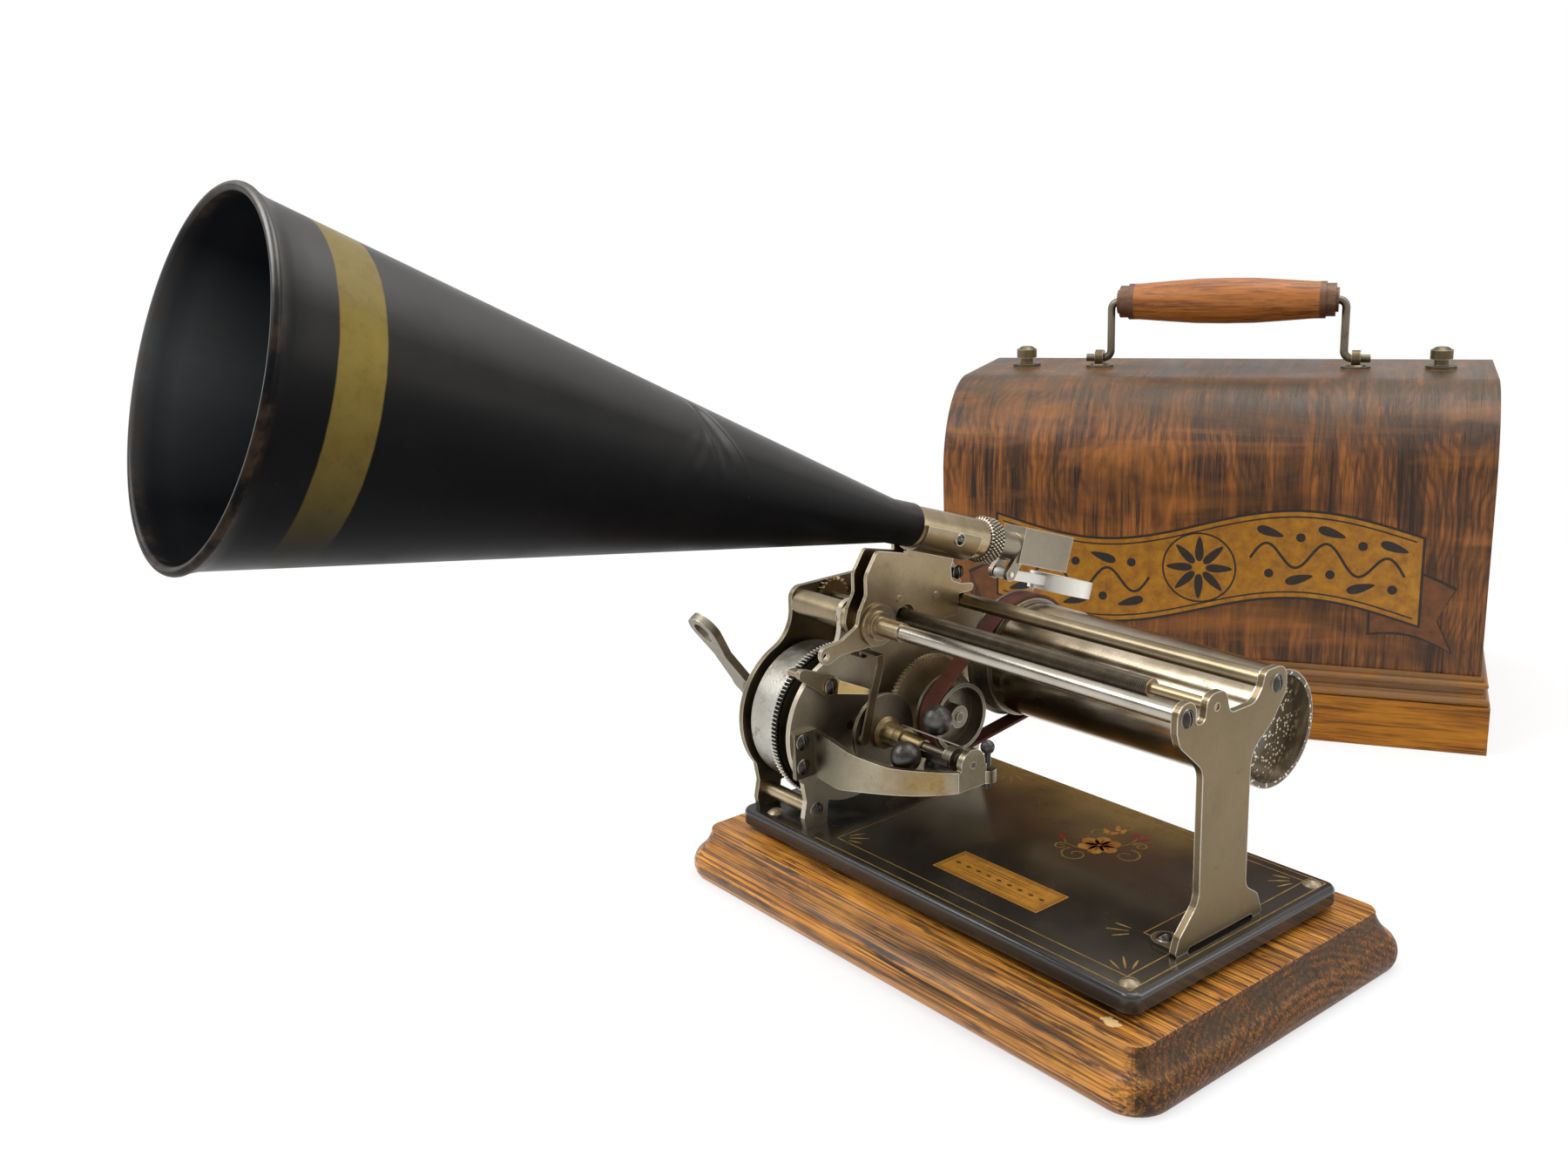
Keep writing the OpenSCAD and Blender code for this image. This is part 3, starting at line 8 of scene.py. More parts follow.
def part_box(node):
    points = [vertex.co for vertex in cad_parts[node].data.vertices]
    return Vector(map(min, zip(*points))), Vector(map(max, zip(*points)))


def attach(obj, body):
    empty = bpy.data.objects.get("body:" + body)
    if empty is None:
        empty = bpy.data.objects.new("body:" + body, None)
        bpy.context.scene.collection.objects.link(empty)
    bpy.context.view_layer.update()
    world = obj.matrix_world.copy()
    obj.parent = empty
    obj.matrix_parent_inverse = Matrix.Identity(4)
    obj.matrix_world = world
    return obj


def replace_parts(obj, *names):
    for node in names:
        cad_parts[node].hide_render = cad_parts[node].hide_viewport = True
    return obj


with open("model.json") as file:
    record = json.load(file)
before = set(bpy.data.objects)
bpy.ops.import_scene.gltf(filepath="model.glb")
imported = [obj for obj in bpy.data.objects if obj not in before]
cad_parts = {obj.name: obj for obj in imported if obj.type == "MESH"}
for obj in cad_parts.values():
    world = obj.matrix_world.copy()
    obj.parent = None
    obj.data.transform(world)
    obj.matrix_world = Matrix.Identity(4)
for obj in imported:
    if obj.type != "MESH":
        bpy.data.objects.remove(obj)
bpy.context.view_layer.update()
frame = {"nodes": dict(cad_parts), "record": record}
nodes = frame["nodes"]
scene = bpy.context.scene
MM = 0.001


def middle(node):
    """Middle of a node's box."""
    low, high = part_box(node)
    return (low + high) / 2


# Places in metres, with the horn's tilt and the cover's turn
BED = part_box("bedplate")[1].z
NECK, TILT = Vector((-0.0488, -0.0072, 0.1472)), math.radians(18.4)
ALONG_TUBE = -math.pi / 2 - TILT
COVER, TURN = Vector((-0.116, 0.281, 0.0)), math.radians(29.7)
COVER_FRONT = -0.0811

# Horn in millimetres: sheet, socket on the tube, rolled rim, slope of the cone, place of the dent
HORN_L, HORN_R, SHEET = 272.0, 52.0, 0.6
HORN_LAP, SOCKET_R, SOCKET_WALL, SOCKET_STEP = 12.0, 7.3, 1.2, 0.4
RIM, RIM_BEHIND, RIM_INSIDE = 1.5, 3.2, 2.6
CONE_R, CONE_L = SOCKET_R + SOCKET_WALL, HORN_L - RIM_BEHIND - HORN_LAP
CONE_SLOPE = (HORN_R - CONE_R) / CONE_L
DENT_T, DENT_TURN, DENT_REACH = 116.0, math.radians(-40), 24.0

# Knurled ring in millimetres: where it starts along the tube, grooves round it, length of one groove's step
RING_S, KNURLS, KNURL_LEAD = 38.3, 36, 2.9

# Camera solved from the photograph
CAM = Vector((0.3646, -0.3881, 0.2783))
AZ, EL, ROLL = (math.radians(v) for v in (52.37, 15.37, -2.55))
LENS, SENSOR = 34.414, 36.0
forward = Vector((-math.sin(AZ) * math.cos(EL), math.cos(AZ) * math.cos(EL), -math.sin(EL)))
level = Vector((math.cos(AZ), math.sin(AZ), 0.0))
upright = level.cross(forward)
right = level * math.cos(ROLL) + upright * math.sin(ROLL)
up = upright * math.cos(ROLL) - level * math.sin(ROLL)
cam_data = bpy.data.cameras.new("camera")
cam_data.sensor_fit = "HORIZONTAL"
cam_data.sensor_width = SENSOR
cam_data.lens = LENS
cam_data.clip_start, cam_data.clip_end = 0.01, 30.0
cam = bpy.data.objects.new("camera", cam_data)
scene.collection.objects.link(cam)
cam.matrix_world = Matrix.Translation(CAM) @ Matrix((right, up, -forward)).transposed().to_4x4()
scene.camera = cam
scene.view_settings.view_transform = "Standard"


def lin(r, g, b):
    """Colour written as screen values, returned as linear light."""
    light = [c / 12.92 if c <= 0.04045 else ((c + 0.055) / 1.055) ** 2.4 for c in (r, g, b)]
    return (*light, 1.0)


class Graph:
    """Short names for the nodes of one shader tree."""

    def __init__(self, tree, coordinates):
        self.t = tree
        self.co = self.node("ShaderNodeTexCoord").outputs[coordinates]

    def node(self, kind, inputs=(), **settings):
        """New node with its settings, and with its inputs linked or set."""
        n = self.t.nodes.new(kind)
        for k, v in settings.items():
            setattr(n, k, v)
        for k, v in dict(inputs).items():
            self.put(n.inputs[k], v)
        return n

    def put(self, sock, v):
        """Links an output to a socket, or sets the socket's own value."""
        if isinstance(v, bpy.types.NodeSocket):
            self.t.links.new(v, sock)
        else:
            sock.default_value = v

    def math(self, op, a, b=0.0, c=0.0):
        return self.node("ShaderNodeMath", {0: a, 1: b, 2: c}, operation=op).outputs[0]

    def times(self, product, *others):
        """Product of all the values."""
        for v in others:
            product = self.math("MULTIPLY", product, v)
        return product

    def line(self, v, slope, start):
        """Value times a slope, plus a start."""
        return self.math("MULTIPLY_ADD", v, slope, start)

    def length(self, a, b):
        """Length of a vector with two parts."""
        return self.math("SQRT", self.math("ADD", self.times(a, a), self.times(b, b)))

    def band(self, fac, lo, hi):
        """0 below lo, 1 above hi, or the other way round where lo is the greater."""
        return self.node("ShaderNodeMapRange", {"Value": fac, "From Min": lo, "From Max": hi}).outputs[0]

    def mix(self, fac, a, b):
        return self.node("ShaderNodeMix", {0: fac, 6: a, 7: b}, data_type="RGBA").outputs[2]

    def ramp(self, fac, stops):
        """Colours by (place, colour) in rising order."""
        n = self.node("ShaderNodeValToRGB", {0: fac})
        elements = n.color_ramp.elements
        while len(elements) < len(stops):
            elements.new(0.5)
        for element, (place, color) in zip(elements, stops):
            element.position = place
            element.color = color
        return n.outputs[0]

    def xyz(self, vec=None):
        return self.node("ShaderNodeSeparateXYZ", {0: vec or self.co}).outputs

    def seen(self):
        """1 for rays that show a thing straight, mirrored or through glass, 0 for rays that light it."""
        path = self.node("ShaderNodeLightPath").outputs
        straight = self.math("MAXIMUM", path["Is Camera Ray"], path["Is Glossy Ray"])
        return self.math("MAXIMUM", straight, path["Is Transmission Ray"])


mats = {}


class Mat(Graph):
    """Procedural material, kept in mats under its name."""

    def __init__(self, name, rough=0.5, metal=0.0):
        mats[name] = bpy.data.materials.new(name)
        mats[name].use_nodes = True
        super().__init__(mats[name].node_tree, "Object")
        self.b = self.t.nodes["Principled BSDF"]
        self.set("Roughness", rough)
        self.set("Metallic", metal)

    def set(self, name, v):
        self.put(self.b.inputs[name], v)

    def color(self):
        """Base colour so far."""
        return self.b.inputs["Base Color"].links[0].from_socket

    def tint(self, fac, color):
        """Lays a colour over the base colour so far."""
        self.set("Base Color", self.mix(fac, self.color(), color))

    def map(self, scale=(1, 1, 1), loc=(0, 0, 0), rot=(0, 0, 0), kind="POINT", vec=None):
        n = self.node("ShaderNodeMapping", {"Vector": vec or self.co, "Location": loc, "Rotation": rot,
                                            "Scale": scale}, vector_type=kind)
        return n.outputs[0]

    def vector(self, x, y, z):
        return self.node("ShaderNodeCombineXYZ", {0: x, 1: y, 2: z}).outputs[0]

    def noise(self, scale, vec=None, detail=4.0, rough=0.55, dist=0.0):
        n = self.node("ShaderNodeTexNoise", {"Vector": vec or self.co, "Scale": scale, "Detail": detail,
                                             "Roughness": rough, "Distortion": dist})
        return n.outputs["Fac"]

    def streaks(self, scale, detail, rough=0.55, dist=0.0, **place):
        """Noise with a scale of its own along each axis."""
        return self.noise(1.0, self.map(scale, **place), detail, rough, dist)

    def voronoi(self, scale, vec=None):
        n = self.node("ShaderNodeTexVoronoi", {"Vector": vec or self.co, "Scale": scale})
        return n.outputs["Distance"]

    def normal(self):
        return self.xyz(self.node("ShaderNodeNewGeometry").outputs["True Normal"])

    def bump(self, height, strength, depth):
        n = self.node("ShaderNodeBump", {"Height": height, "Strength": strength, "Distance": depth})
        self.set("Normal", n.outputs[0])

    def edge(self, radius=0.0007):
        """1 on sharp edges, 0 on flat faces."""
        soft = self.node("ShaderNodeBevel", {"Radius": radius}, samples=6).outputs[0]
        plain = self.node("ShaderNodeNewGeometry").outputs["Normal"]
        agree = self.node("ShaderNodeVectorMath", {0: soft, 1: plain}, operation="DOT_PRODUCT")
        return self.band(agree.outputs["Value"], 0.985, 0.86)

    def off_axis(self, y, z):
        """Distance from the line along X through y and z."""
        o = self.xyz()
        return self.length(self.math("SUBTRACT", o[1], y), self.math("SUBTRACT", o[2], z))

    def on_tube(self):
        """Coordinates of the horn's own frame: two across its axis and one along it."""
        return self.xyz(self.map(loc=NECK, rot=(ALONG_TUBE, 0, 0), kind="TEXTURE"))


def metal(name, light, dark, stain, amount=0.5, rough=(0.25, 0.45), grain=(1, 1, 1), pits=0.0, worn=0.0,
          scratch=0.4):
    """Aged bare metal: cloudy tone, stain, fine scratches, bright edges that are worn and carry a painted
    highlight, and pits.
    """
    m = Mat(name, metal=1.0)
    cloud = m.noise(38, detail=6, rough=0.6)
    fine = m.noise(900, m.map(grain), detail=3)
    spot = m.noise(170, detail=6, rough=0.72)
    m.set("Base Color", m.mix(m.band(cloud, 0.3, 0.72), dark, light))
    m.tint(m.band(fine, 0.52, 0.78), m.mix(scratch, m.color(), dark))
    stained = m.band(spot, 0.66 - 0.16 * amount, 0.84 - 0.1 * amount)
    stained = m.times(stained, min(1.0, 0.25 + amount))
    m.tint(stained, stain)
    dull = m.line(m.band(cloud, 0.3, 0.75), rough[1] - rough[0], rough[0])
    dull = m.line(stained, 0.25, dull)
    height = m.line(fine, 0.85 * scratch, m.times(spot, 0.4))
    if worn:
        # Brighter edges: worn metal, with a painted highlight along them
        rub = m.times(m.edge(), worn)
        m.tint(rub, (0.78, 0.74, 0.66, 1))
        dull = m.line(rub, -0.1, dull)
    if pits:
        pit = m.band(m.voronoi(620), 0.05, 0.4)
        height = m.line(pit, pits, height)
        some = m.band(m.noise(95, detail=5, rough=0.7), 0.34, 0.54)
        m.tint(m.times(m.band(pit, 0.45, 0.1), some, min(0.7, 0.5 * pits)), stain)
    m.set("Roughness", dull)
    m.bump(height, 0.25, 0.0002)
    return m


# Heart of the base's log, as y and z of a line along X, and the width of its year rings
HEART, YEAR = (0.012, -0.062), 0.0023


def oak(name, tones, pore, axis, frame_of=None, figure=22.0, rough=(0.34, 0.52), ends=False, pores=1.0,
        coat=0.06):
    """Oak: broad figure, dark streaks and pores along one axis, dirt, and end grain where ends show."""
    m = Mat(name)
    at = frame_of(m) if frame_of else m.co

    def along(across, length, detail, blur, dist=0.0):
        scale = [across] * 3
        scale[axis] = length
        return m.streaks(scale, detail, blur, dist, vec=at)

    broad = along(figure * 2.2, figure * 0.4, 5, 0.6, 0.9)
    bands = along(figure * 11, figure * 0.7, 4, 0.62, 0.4)
    streak = along(800, 15, 4, 0.65)
    fine = along(1900, 45, 2, 0.6)
    tone = m.line(bands, 0.55, m.times(broad, 0.45))
    m.set("Base Color", m.ramp(tone, list(zip((0.34, 0.46, 0.55, 0.67), tones))))
    cuts = m.math("MAXIMUM", m.band(streak, 0.51, 0.57), m.times(m.band(fine, 0.53, 0.62), 0.6))
    cuts = m.times(cuts, m.band(bands, 0.66, 0.42))
    m.tint(m.times(cuts, 0.92 * pores), pore)
    dirt = m.band(m.noise(17, detail=6, rough=0.7), 0.52, 0.74)
    m.tint(m.times(dirt, 0.5), m.mix(0.6, m.color(), pore))
    if ends:
        face = m.band(m.math("ABSOLUTE", m.normal()[axis]), 0.35, 0.7)
        far = m.line(m.noise(45, detail=3), 0.006, m.off_axis(*HEART))
        rings = m.times(m.math("PINGPONG", m.times(far, 1 / YEAR), 0.5), 2.0)
        dots = m.noise(1300, detail=3, rough=0.7)
        grain = m.mix(0.5, tones[0], pore)
        grain = m.mix(m.band(rings, 0.25, 0.75), grain, m.mix(0.5, pore, (0, 0, 0, 1)))
        grain = m.mix(m.band(dots, 0.52, 0.66), grain, m.mix(0.45, grain, tones[1]))
        m.tint(m.times(face, 0.9), grain)
    rub = m.times(m.edge(0.0012), m.band(m.noise(60, detail=5, rough=0.7), 0.45, 0.6))
    m.tint(m.times(rub, 0.55), pore)
    m.set("Roughness", m.line(m.band(broad, 0.3, 0.7), rough[1] - rough[0], rough[0]))
    m.bump(m.line(cuts, -0.9, m.times(bands, 0.25)), 0.35, 0.0003)
    m.set("Coat Weight", m.line(face, -coat, coat) if ends else coat)
    m.set("Coat Roughness", 0.3)
    m.set("Specular IOR Level", 0.25 if ends else 0.35)
    return m


def black(name, tone, warm, rough, coat, specks):
    """Black japan: soft gloss, dust specks, light scuffs."""
    m = Mat(name)
    cloud = m.noise(28, detail=5, rough=0.65)
    speck = m.times(m.band(m.voronoi(420), 0.06, 0.03), m.band(m.noise(55, detail=2), 0.5, 0.66), specks)
    scuff = m.noise(260, m.map((0.25, 1, 1), rot=(0.3, 0.2, 0.6)), detail=5, rough=0.75)
    m.set("Base Color", m.mix(m.band(cloud, 0.45, 0.75), tone, warm))
    m.tint(speck, (0.42, 0.40, 0.36, 1))
    m.tint(m.times(m.band(scuff, 0.66, 0.8), 0.25 * specks), (0.16, 0.13, 0.1, 1))
    m.set("Roughness", m.line(m.band(cloud, 0.3, 0.8), 0.18, rough))
    m.set("Coat Weight", coat)
    m.set("Coat Roughness", 0.12)
    m.bump(m.line(speck, 0.8, m.times(cloud, 0.5)), 0.12, 0.0003)
    return m


def cover_frame(m):
    """Cover's own frame: along its length, across it, up."""
    return m.map(loc=COVER, rot=(0, 0, TURN), kind="TEXTURE")


def unrolled(m):
    """Cover's veneer laid flat: along its length, and up the front and over the top."""
    o = m.xyz(cover_frame(m))
    return m.vector(o[0], m.math("ADD", o[1], o[2]), 0.0)


def round_frame(m):
    """Boards of the cover's frame laid flat: along their run, and up."""
    o = m.xyz(cover_frame(m))
    return m.vector(m.math("ADD", o[0], o[1]), 0.0, o[2])


# Plain metals
BROWN = (0.085, 0.05, 0.022, 1)
SCREW = ((0.1, 0.09, 0.08, 1), (0.035, 0.03, 0.026, 1), BROWN, 0.3, (0.3, 0.45))
metal("nickel", (0.36, 0.295, 0.195, 1), (0.20, 0.155, 0.09, 1), BROWN, 0.3, (0.27, 0.42), worn=0.8)
metal("plate", (0.34, 0.285, 0.195, 1), (0.17, 0.135, 0.08, 1), BROWN, 0.5, (0.3, 0.46), worn=0.85)
# Inner plate: the plate's metal made lighter, painted light against the shade it stands in
metal("inner", (0.68, 0.61, 0.48, 1), (0.42, 0.36, 0.26, 1), BROWN, 0.4, (0.32, 0.48), worn=0.85)
metal("post", (0.235, 0.178, 0.10, 1), (0.165, 0.122, 0.066, 1), BROWN, 0.3, (0.34, 0.48),
      grain=(1, 1, 0.2), pits=0.3, worn=0.9)
metal("tube", (0.62, 0.51, 0.34, 1), (0.36, 0.28, 0.17, 1), BROWN, 0.25, (0.24, 0.4), worn=0.8)
metal("carriage", (0.47, 0.38, 0.25, 1), (0.27, 0.21, 0.125, 1), BROWN, 0.35, (0.28, 0.44), worn=0.85)
metal("steel", (0.56, 0.52, 0.45, 1), (0.40, 0.36, 0.29, 1), BROWN, 0.15, (0.22, 0.32),
      grain=(0.1, 1, 1), worn=0.3, scratch=0.1)
metal("dull_steel", (0.25, 0.215, 0.16, 1), (0.13, 0.105, 0.075, 1), BROWN, 0.5, (0.34, 0.5), worn=0.7)
# Governor wheel: made lighter, painted light against the shade it stands in
metal("wheel", (0.72, 0.58, 0.36, 1), (0.44, 0.34, 0.19, 1), BROWN, 0.4, (0.34, 0.5), worn=0.9)
metal("screw_steel", *SCREW, worn=0.35)
metal("grey_iron", (0.36, 0.325, 0.26, 1), (0.19, 0.162, 0.12, 1), (0.07, 0.05, 0.03, 1), 0.5, (0.36, 0.55),
      pits=0.7, worn=0.5)
metal("brass", (0.38, 0.285, 0.14, 1), (0.20, 0.145, 0.068, 1), (0.1, 0.06, 0.025, 1), 0.45, (0.28, 0.45),
      worn=0.4)
metal("bright_brass", (0.60, 0.43, 0.17, 1), (0.40, 0.27, 0.1, 1), (0.14, 0.08, 0.03, 1), 0.3, (0.24, 0.4),
      worn=0.5)
metal("old_brass", (0.24, 0.185, 0.10, 1), (0.11, 0.085, 0.05, 1), (0.05, 0.04, 0.025, 1), 0.5, (0.34, 0.5),
      worn=0.6)
metal("dark_leaf", (0.15, 0.105, 0.06, 1), (0.075, 0.05, 0.03, 1), BROWN, 0.5, (0.34, 0.5), worn=0.4)
metal("bright_metal", (0.33, 0.285, 0.22, 1), (0.23, 0.195, 0.145, 1), (0.15, 0.12, 0.085, 1), 0.2,
      (0.3, 0.42), worn=0.6)
metal("ball", (0.20, 0.19, 0.175, 1), (0.03, 0.028, 0.025, 1), (0.02, 0.018, 0.015, 1), 0.6, (0.3, 0.5),
      grain=(0.25, 0.06, 0.3), pits=0.5, scratch=0.9)

# Weight of the reproducer: pale and only a little metallic
m = metal("weight", (0.93, 0.915, 0.855, 1), (0.82, 0.80, 0.73, 1), (0.40, 0.36, 0.28, 1), 0.15, (0.26, 0.4),
          worn=0.5)
m.set("Metallic", 0.25)

# Spring barrel: pitted wall, dark below and above its bright middle, with painted shade and dirt there
DARK_BELOW, DARK_ABOVE = (0.066, 0.050), (0.082, 0.092)
m = metal("drum", (0.72, 0.71, 0.66, 1), (0.42, 0.40, 0.34, 1), (0.17, 0.135, 0.09, 1), 0.8, (0.36, 0.55),
          pits=1.4, worn=0.3)
z = m.xyz()[2]
# Painted shade and dirt on the barrel's lower and upper sides
dark = m.math("MAXIMUM", m.band(z, *DARK_BELOW), m.band(z, *DARK_ABOVE))
patch = m.band(m.noise(120, detail=5, rough=0.7), 0.3, 0.65)
m.tint(m.times(dark, m.line(patch, 0.45, 0.5)), (0.115, 0.10, 0.07, 1))

# Great gear: dark gaps and bright tips of its teeth, by radius: painted shade in the gaps and a painted
# highlight on the tips
GAP_ROOT, GAP_TOP, TOOTH_TIP = (0.0302, 0.0304), (0.0316, 0.0309), (0.0312, 0.0317)
m = metal("teeth", (0.30, 0.265, 0.205, 1), (0.17, 0.145, 0.105, 1), BROWN, 0.4, (0.3, 0.45))
gear = middle("great_gear")
r = m.off_axis(gear.y, gear.z)
m.tint(m.times(m.band(r, *GAP_ROOT), m.band(r, *GAP_TOP)), (0.012, 0.010, 0.008, 1))
m.tint(m.band(r, *TOOTH_TIP), (0.66, 0.63, 0.56, 1))

# Governor's bracket: brown stain along its strap, grey near the motor
m = metal("bracket", (0.42, 0.365, 0.265, 1), (0.19, 0.155, 0.095, 1), BROWN, 0.5, (0.24, 0.4), worn=0.85)
low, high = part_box("governor_bracket")
place = m.band(m.xyz()[0], low.x, high.x)
cloud = m.band(m.noise(85, detail=5, rough=0.7), 0.3, 0.62)
strap = m.times(m.band(place, 0.5, 0.85), m.band(place, 0.95, 0.9))
m.tint(m.times(strap, cloud, 0.95), (0.28, 0.165, 0.035, 1))
m.tint(m.times(m.band(place, 0.4, 0.15), 0.85), (0.15, 0.135, 0.10, 1))

# Screws of the frame: pale in the bedplate's corners
CORNER_Y, CORNER_Z = (0.040, 0.042), (0.036, 0.034)
m = metal("frame_screw", *SCREW, worn=0.35)
o = m.xyz()
corner = m.times(m.band(m.math("ABSOLUTE", o[1]), *CORNER_Y), m.band(o[2], *CORNER_Z))
m.tint(corner, (0.29, 0.225, 0.145, 1))
m.set("Metallic", m.line(corner, -0.6, 1.0))

# Oak of the base: fine lines, flecks, painted shade and dirt in the cove, a pale chip near the front corner
COVE_FOOT, COVE_TOP = (0.0095, 0.0125), (0.0192, 0.0175)
CHIP, CHIP_STRETCH, CHIP_EDGE = Vector((0.0959, -0.0600, 0.0200)), Vector((0.6, 1, 1)), (0.0043, 0.0037)
m = oak("base_oak", [lin(0.50, 0.28, 0.07), lin(0.78, 0.50, 0.17), lin(0.88, 0.60, 0.24),
                     lin(0.65, 0.39, 0.12)], lin(0.09, 0.05, 0.022), 0, ends=True, pores=0.85, coat=0.42)
lines = m.band(m.streaks((8, 1150, 1150), 2, 0.5, rot=(0, 0, 0.012)), 0.49, 0.56)
lines = m.times(lines, m.band(m.noise(33, detail=3), 0.22, 0.5))
m.tint(m.times(lines, 0.75), lin(0.19, 0.11, 0.045))
flecks = m.band(m.streaks((46, 420, 420), 4, 0.6, 0.3, rot=(0, 0, 0.03)), 0.55, 0.61)
flecks = m.times(flecks, m.band(m.noise(26, detail=4, rough=0.6), 0.42, 0.56))
m.tint(m.times(flecks, 0.8), lin(0.13, 0.085, 0.045))
z = m.xyz()[2]
end_face = m.band(m.math("ABSOLUTE", m.normal()[0]), 0.35, 0.7)
# Grey streaks darken the cove, most on the ends: painted shade under the lip, with dirt
dirt = m.times(m.line(end_face, 0.35, 0.65), m.band(m.streaks((16, 170, 110), 5, 0.7), 0.36, 0.62))
m.tint(m.times(m.band(z, *COVE_FOOT), m.band(z, *COVE_TOP), dirt, 0.75), lin(0.23, 0.18, 0.12))
far = m.node("ShaderNodeVectorMath", {0: m.map(CHIP_STRETCH), 1: CHIP * CHIP_STRETCH}, operation="DISTANCE")
ragged = m.line(m.noise(520, detail=4), 0.004, far.outputs["Value"])
m.tint(m.band(ragged, *CHIP_EDGE), lin(0.86, 0.72, 0.50))

# Veneer of the cover: year rings, flames, light and dark clouds, dust on its crown, dirt at its foot
CROWN_DUST, FOOT_DIRT = (0.146, 0.168), (0.085, 0.040)
m = oak("cover_oak", [lin(0.21, 0.12, 0.065), lin(0.37, 0.22, 0.10), lin(0.58, 0.35, 0.14),
                      lin(0.28, 0.16, 0.08)], lin(0.10, 0.057, 0.03), 1, unrolled, figure=10)
place = m.xyz(cover_frame(m))
flat = unrolled(m)
year = m.line(m.streaks((11, 9, 1), 2, vec=flat), 16.0, m.times(place[0], 230.0))
year = m.math("PINGPONG", m.line(m.streaks((70, 42, 1), 3, vec=flat), 1.6, year), 0.5)
rings = m.times(m.band(year, 0.2, 0.4), m.band(m.noise(16, detail=3), 0.35, 0.6))
m.tint(m.times(rings, 0.55), lin(0.17, 0.095, 0.045))
flame = m.streaks((210, 30, 1), 5, 0.6, 1.2, vec=flat)
m.tint(m.times(m.band(flame, 0.48, 0.66), 0.62), lin(0.16, 0.09, 0.045))
glow = m.streaks((9, 34, 1), 4, dist=0.9, vec=flat)
m.tint(m.times(m.band(glow, 0.47, 0.66), 0.5), lin(0.64, 0.40, 0.16))
shade = m.streaks((7, 28, 1), 4, dist=0.9, loc=(3, 5, 0), vec=flat)
m.tint(m.times(m.band(shade, 0.48, 0.66), 0.55), lin(0.15, 0.09, 0.05))
dust = m.times(m.band(place[2], *CROWN_DUST), m.band(m.noise(70, detail=6, rough=0.7), 0.2, 0.55))
m.tint(m.times(dust, 0.8), lin(0.28, 0.225, 0.155))
foot = m.times(m.band(place[2], *FOOT_DIRT), m.band(m.noise(40, detail=5, rough=0.7), 0.35, 0.65))
m.tint(m.times(foot, 0.4), lin(0.17, 0.105, 0.05))

# End boards of the cover: dust towards their top
END_DUST = (0.135, 0.165)
m = oak("end_oak", [lin(0.24, 0.135, 0.065), lin(0.40, 0.235, 0.10), lin(0.52, 0.31, 0.13),
                    lin(0.30, 0.17, 0.08)], lin(0.10, 0.057, 0.03), 1, cover_frame, figure=14)
m.tint(m.times(m.band(m.xyz()[2], *END_DUST), 0.6), lin(0.38, 0.31, 0.24))

# Moulded frame of the cover: dust on its upper ledge
LEDGE_DUST = (0.0225, 0.0255)
m = oak("trim_oak", [lin(0.44, 0.25, 0.03), lin(0.60, 0.37, 0.06), lin(0.67, 0.43, 0.08),
                     lin(0.52, 0.30, 0.05)], lin(0.18, 0.10, 0.02), 0, round_frame, pores=0.75)
dust = m.times(m.band(m.xyz()[2], *LEDGE_DUST), m.band(m.noise(50, detail=5, rough=0.7), 0.2, 0.55))
m.tint(dust, lin(0.50, 0.37, 0.24))
m.set("Specular IOR Level", 0.2)

# Grip of the handle, with rusty ferrules at its ends
FERRULE = (0.0462, 0.0466)
m = oak("grip_wood", [lin(0.44, 0.22, 0.08), lin(0.60, 0.35, 0.14), lin(0.68, 0.42, 0.18),
                      lin(0.50, 0.27, 0.1)], lin(0.2, 0.1, 0.04), 0, cover_frame, figure=40,
        rough=(0.28, 0.42), pores=0.6, coat=0.2)
cap = m.band(m.math("ABSOLUTE", m.xyz(cover_frame(m))[0]), *FERRULE)
rust = m.noise(300, detail=5, rough=0.7)
m.tint(cap, m.mix(rust, lin(0.30, 0.21, 0.155), lin(0.52, 0.39, 0.30)))
m.set("Metallic", m.times(cap, 0.6))

# Bedplate: black japan with a painted brown reflection towards the rear, and rubbed edges with a painted
# highlight
REFLECTION_Y, REFLECTION_X, REFLECTION_REAR = (-0.03, 0.02), (0.075, 0.02), (0.012, 0.045)
m = black("japan", (0.0125, 0.011, 0.0095, 1), (0.024, 0.018, 0.011, 1), 0.16, 0.35, 0.6)
o = m.xyz()
# Painted brown reflection on the japan, strongest towards the rear
painted_reflection = m.times(m.band(o[1], *REFLECTION_Y), m.band(o[0], *REFLECTION_X))
painted_reflection = m.times(painted_reflection, m.band(m.noise(24, detail=4, rough=0.6), 0.25, 0.65))
m.tint(m.times(painted_reflection, 0.8), (0.10, 0.064, 0.024, 1))
m.tint(m.times(painted_reflection, m.band(o[1], *REFLECTION_REAR)), (0.24, 0.15, 0.043, 1))
# Lighter edges: rubbed japan, with a painted highlight along them
rub = m.times(m.edge(0.0006), m.band(m.noise(90, detail=5, rough=0.7), 0.35, 0.6))
m.tint(m.times(rub, 0.45), (0.20, 0.19, 0.18, 1))
black("black_iron", (0.035, 0.033, 0.03, 1), (0.07, 0.06, 0.05, 1), 0.3, 0.3, 0.4)

# Leather of the belt
m = Mat("belt_leather", rough=0.7)
pebble = m.noise(500, detail=5, rough=0.7)
m.set("Base Color", m.mix(pebble, lin(0.30, 0.14, 0.09), lin(0.46, 0.24, 0.16)))
m.tint(m.band(m.noise(70, detail=3), 0.35, 0.7), lin(0.24, 0.10, 0.07))
m.bump(pebble, 0.5, 0.0004)

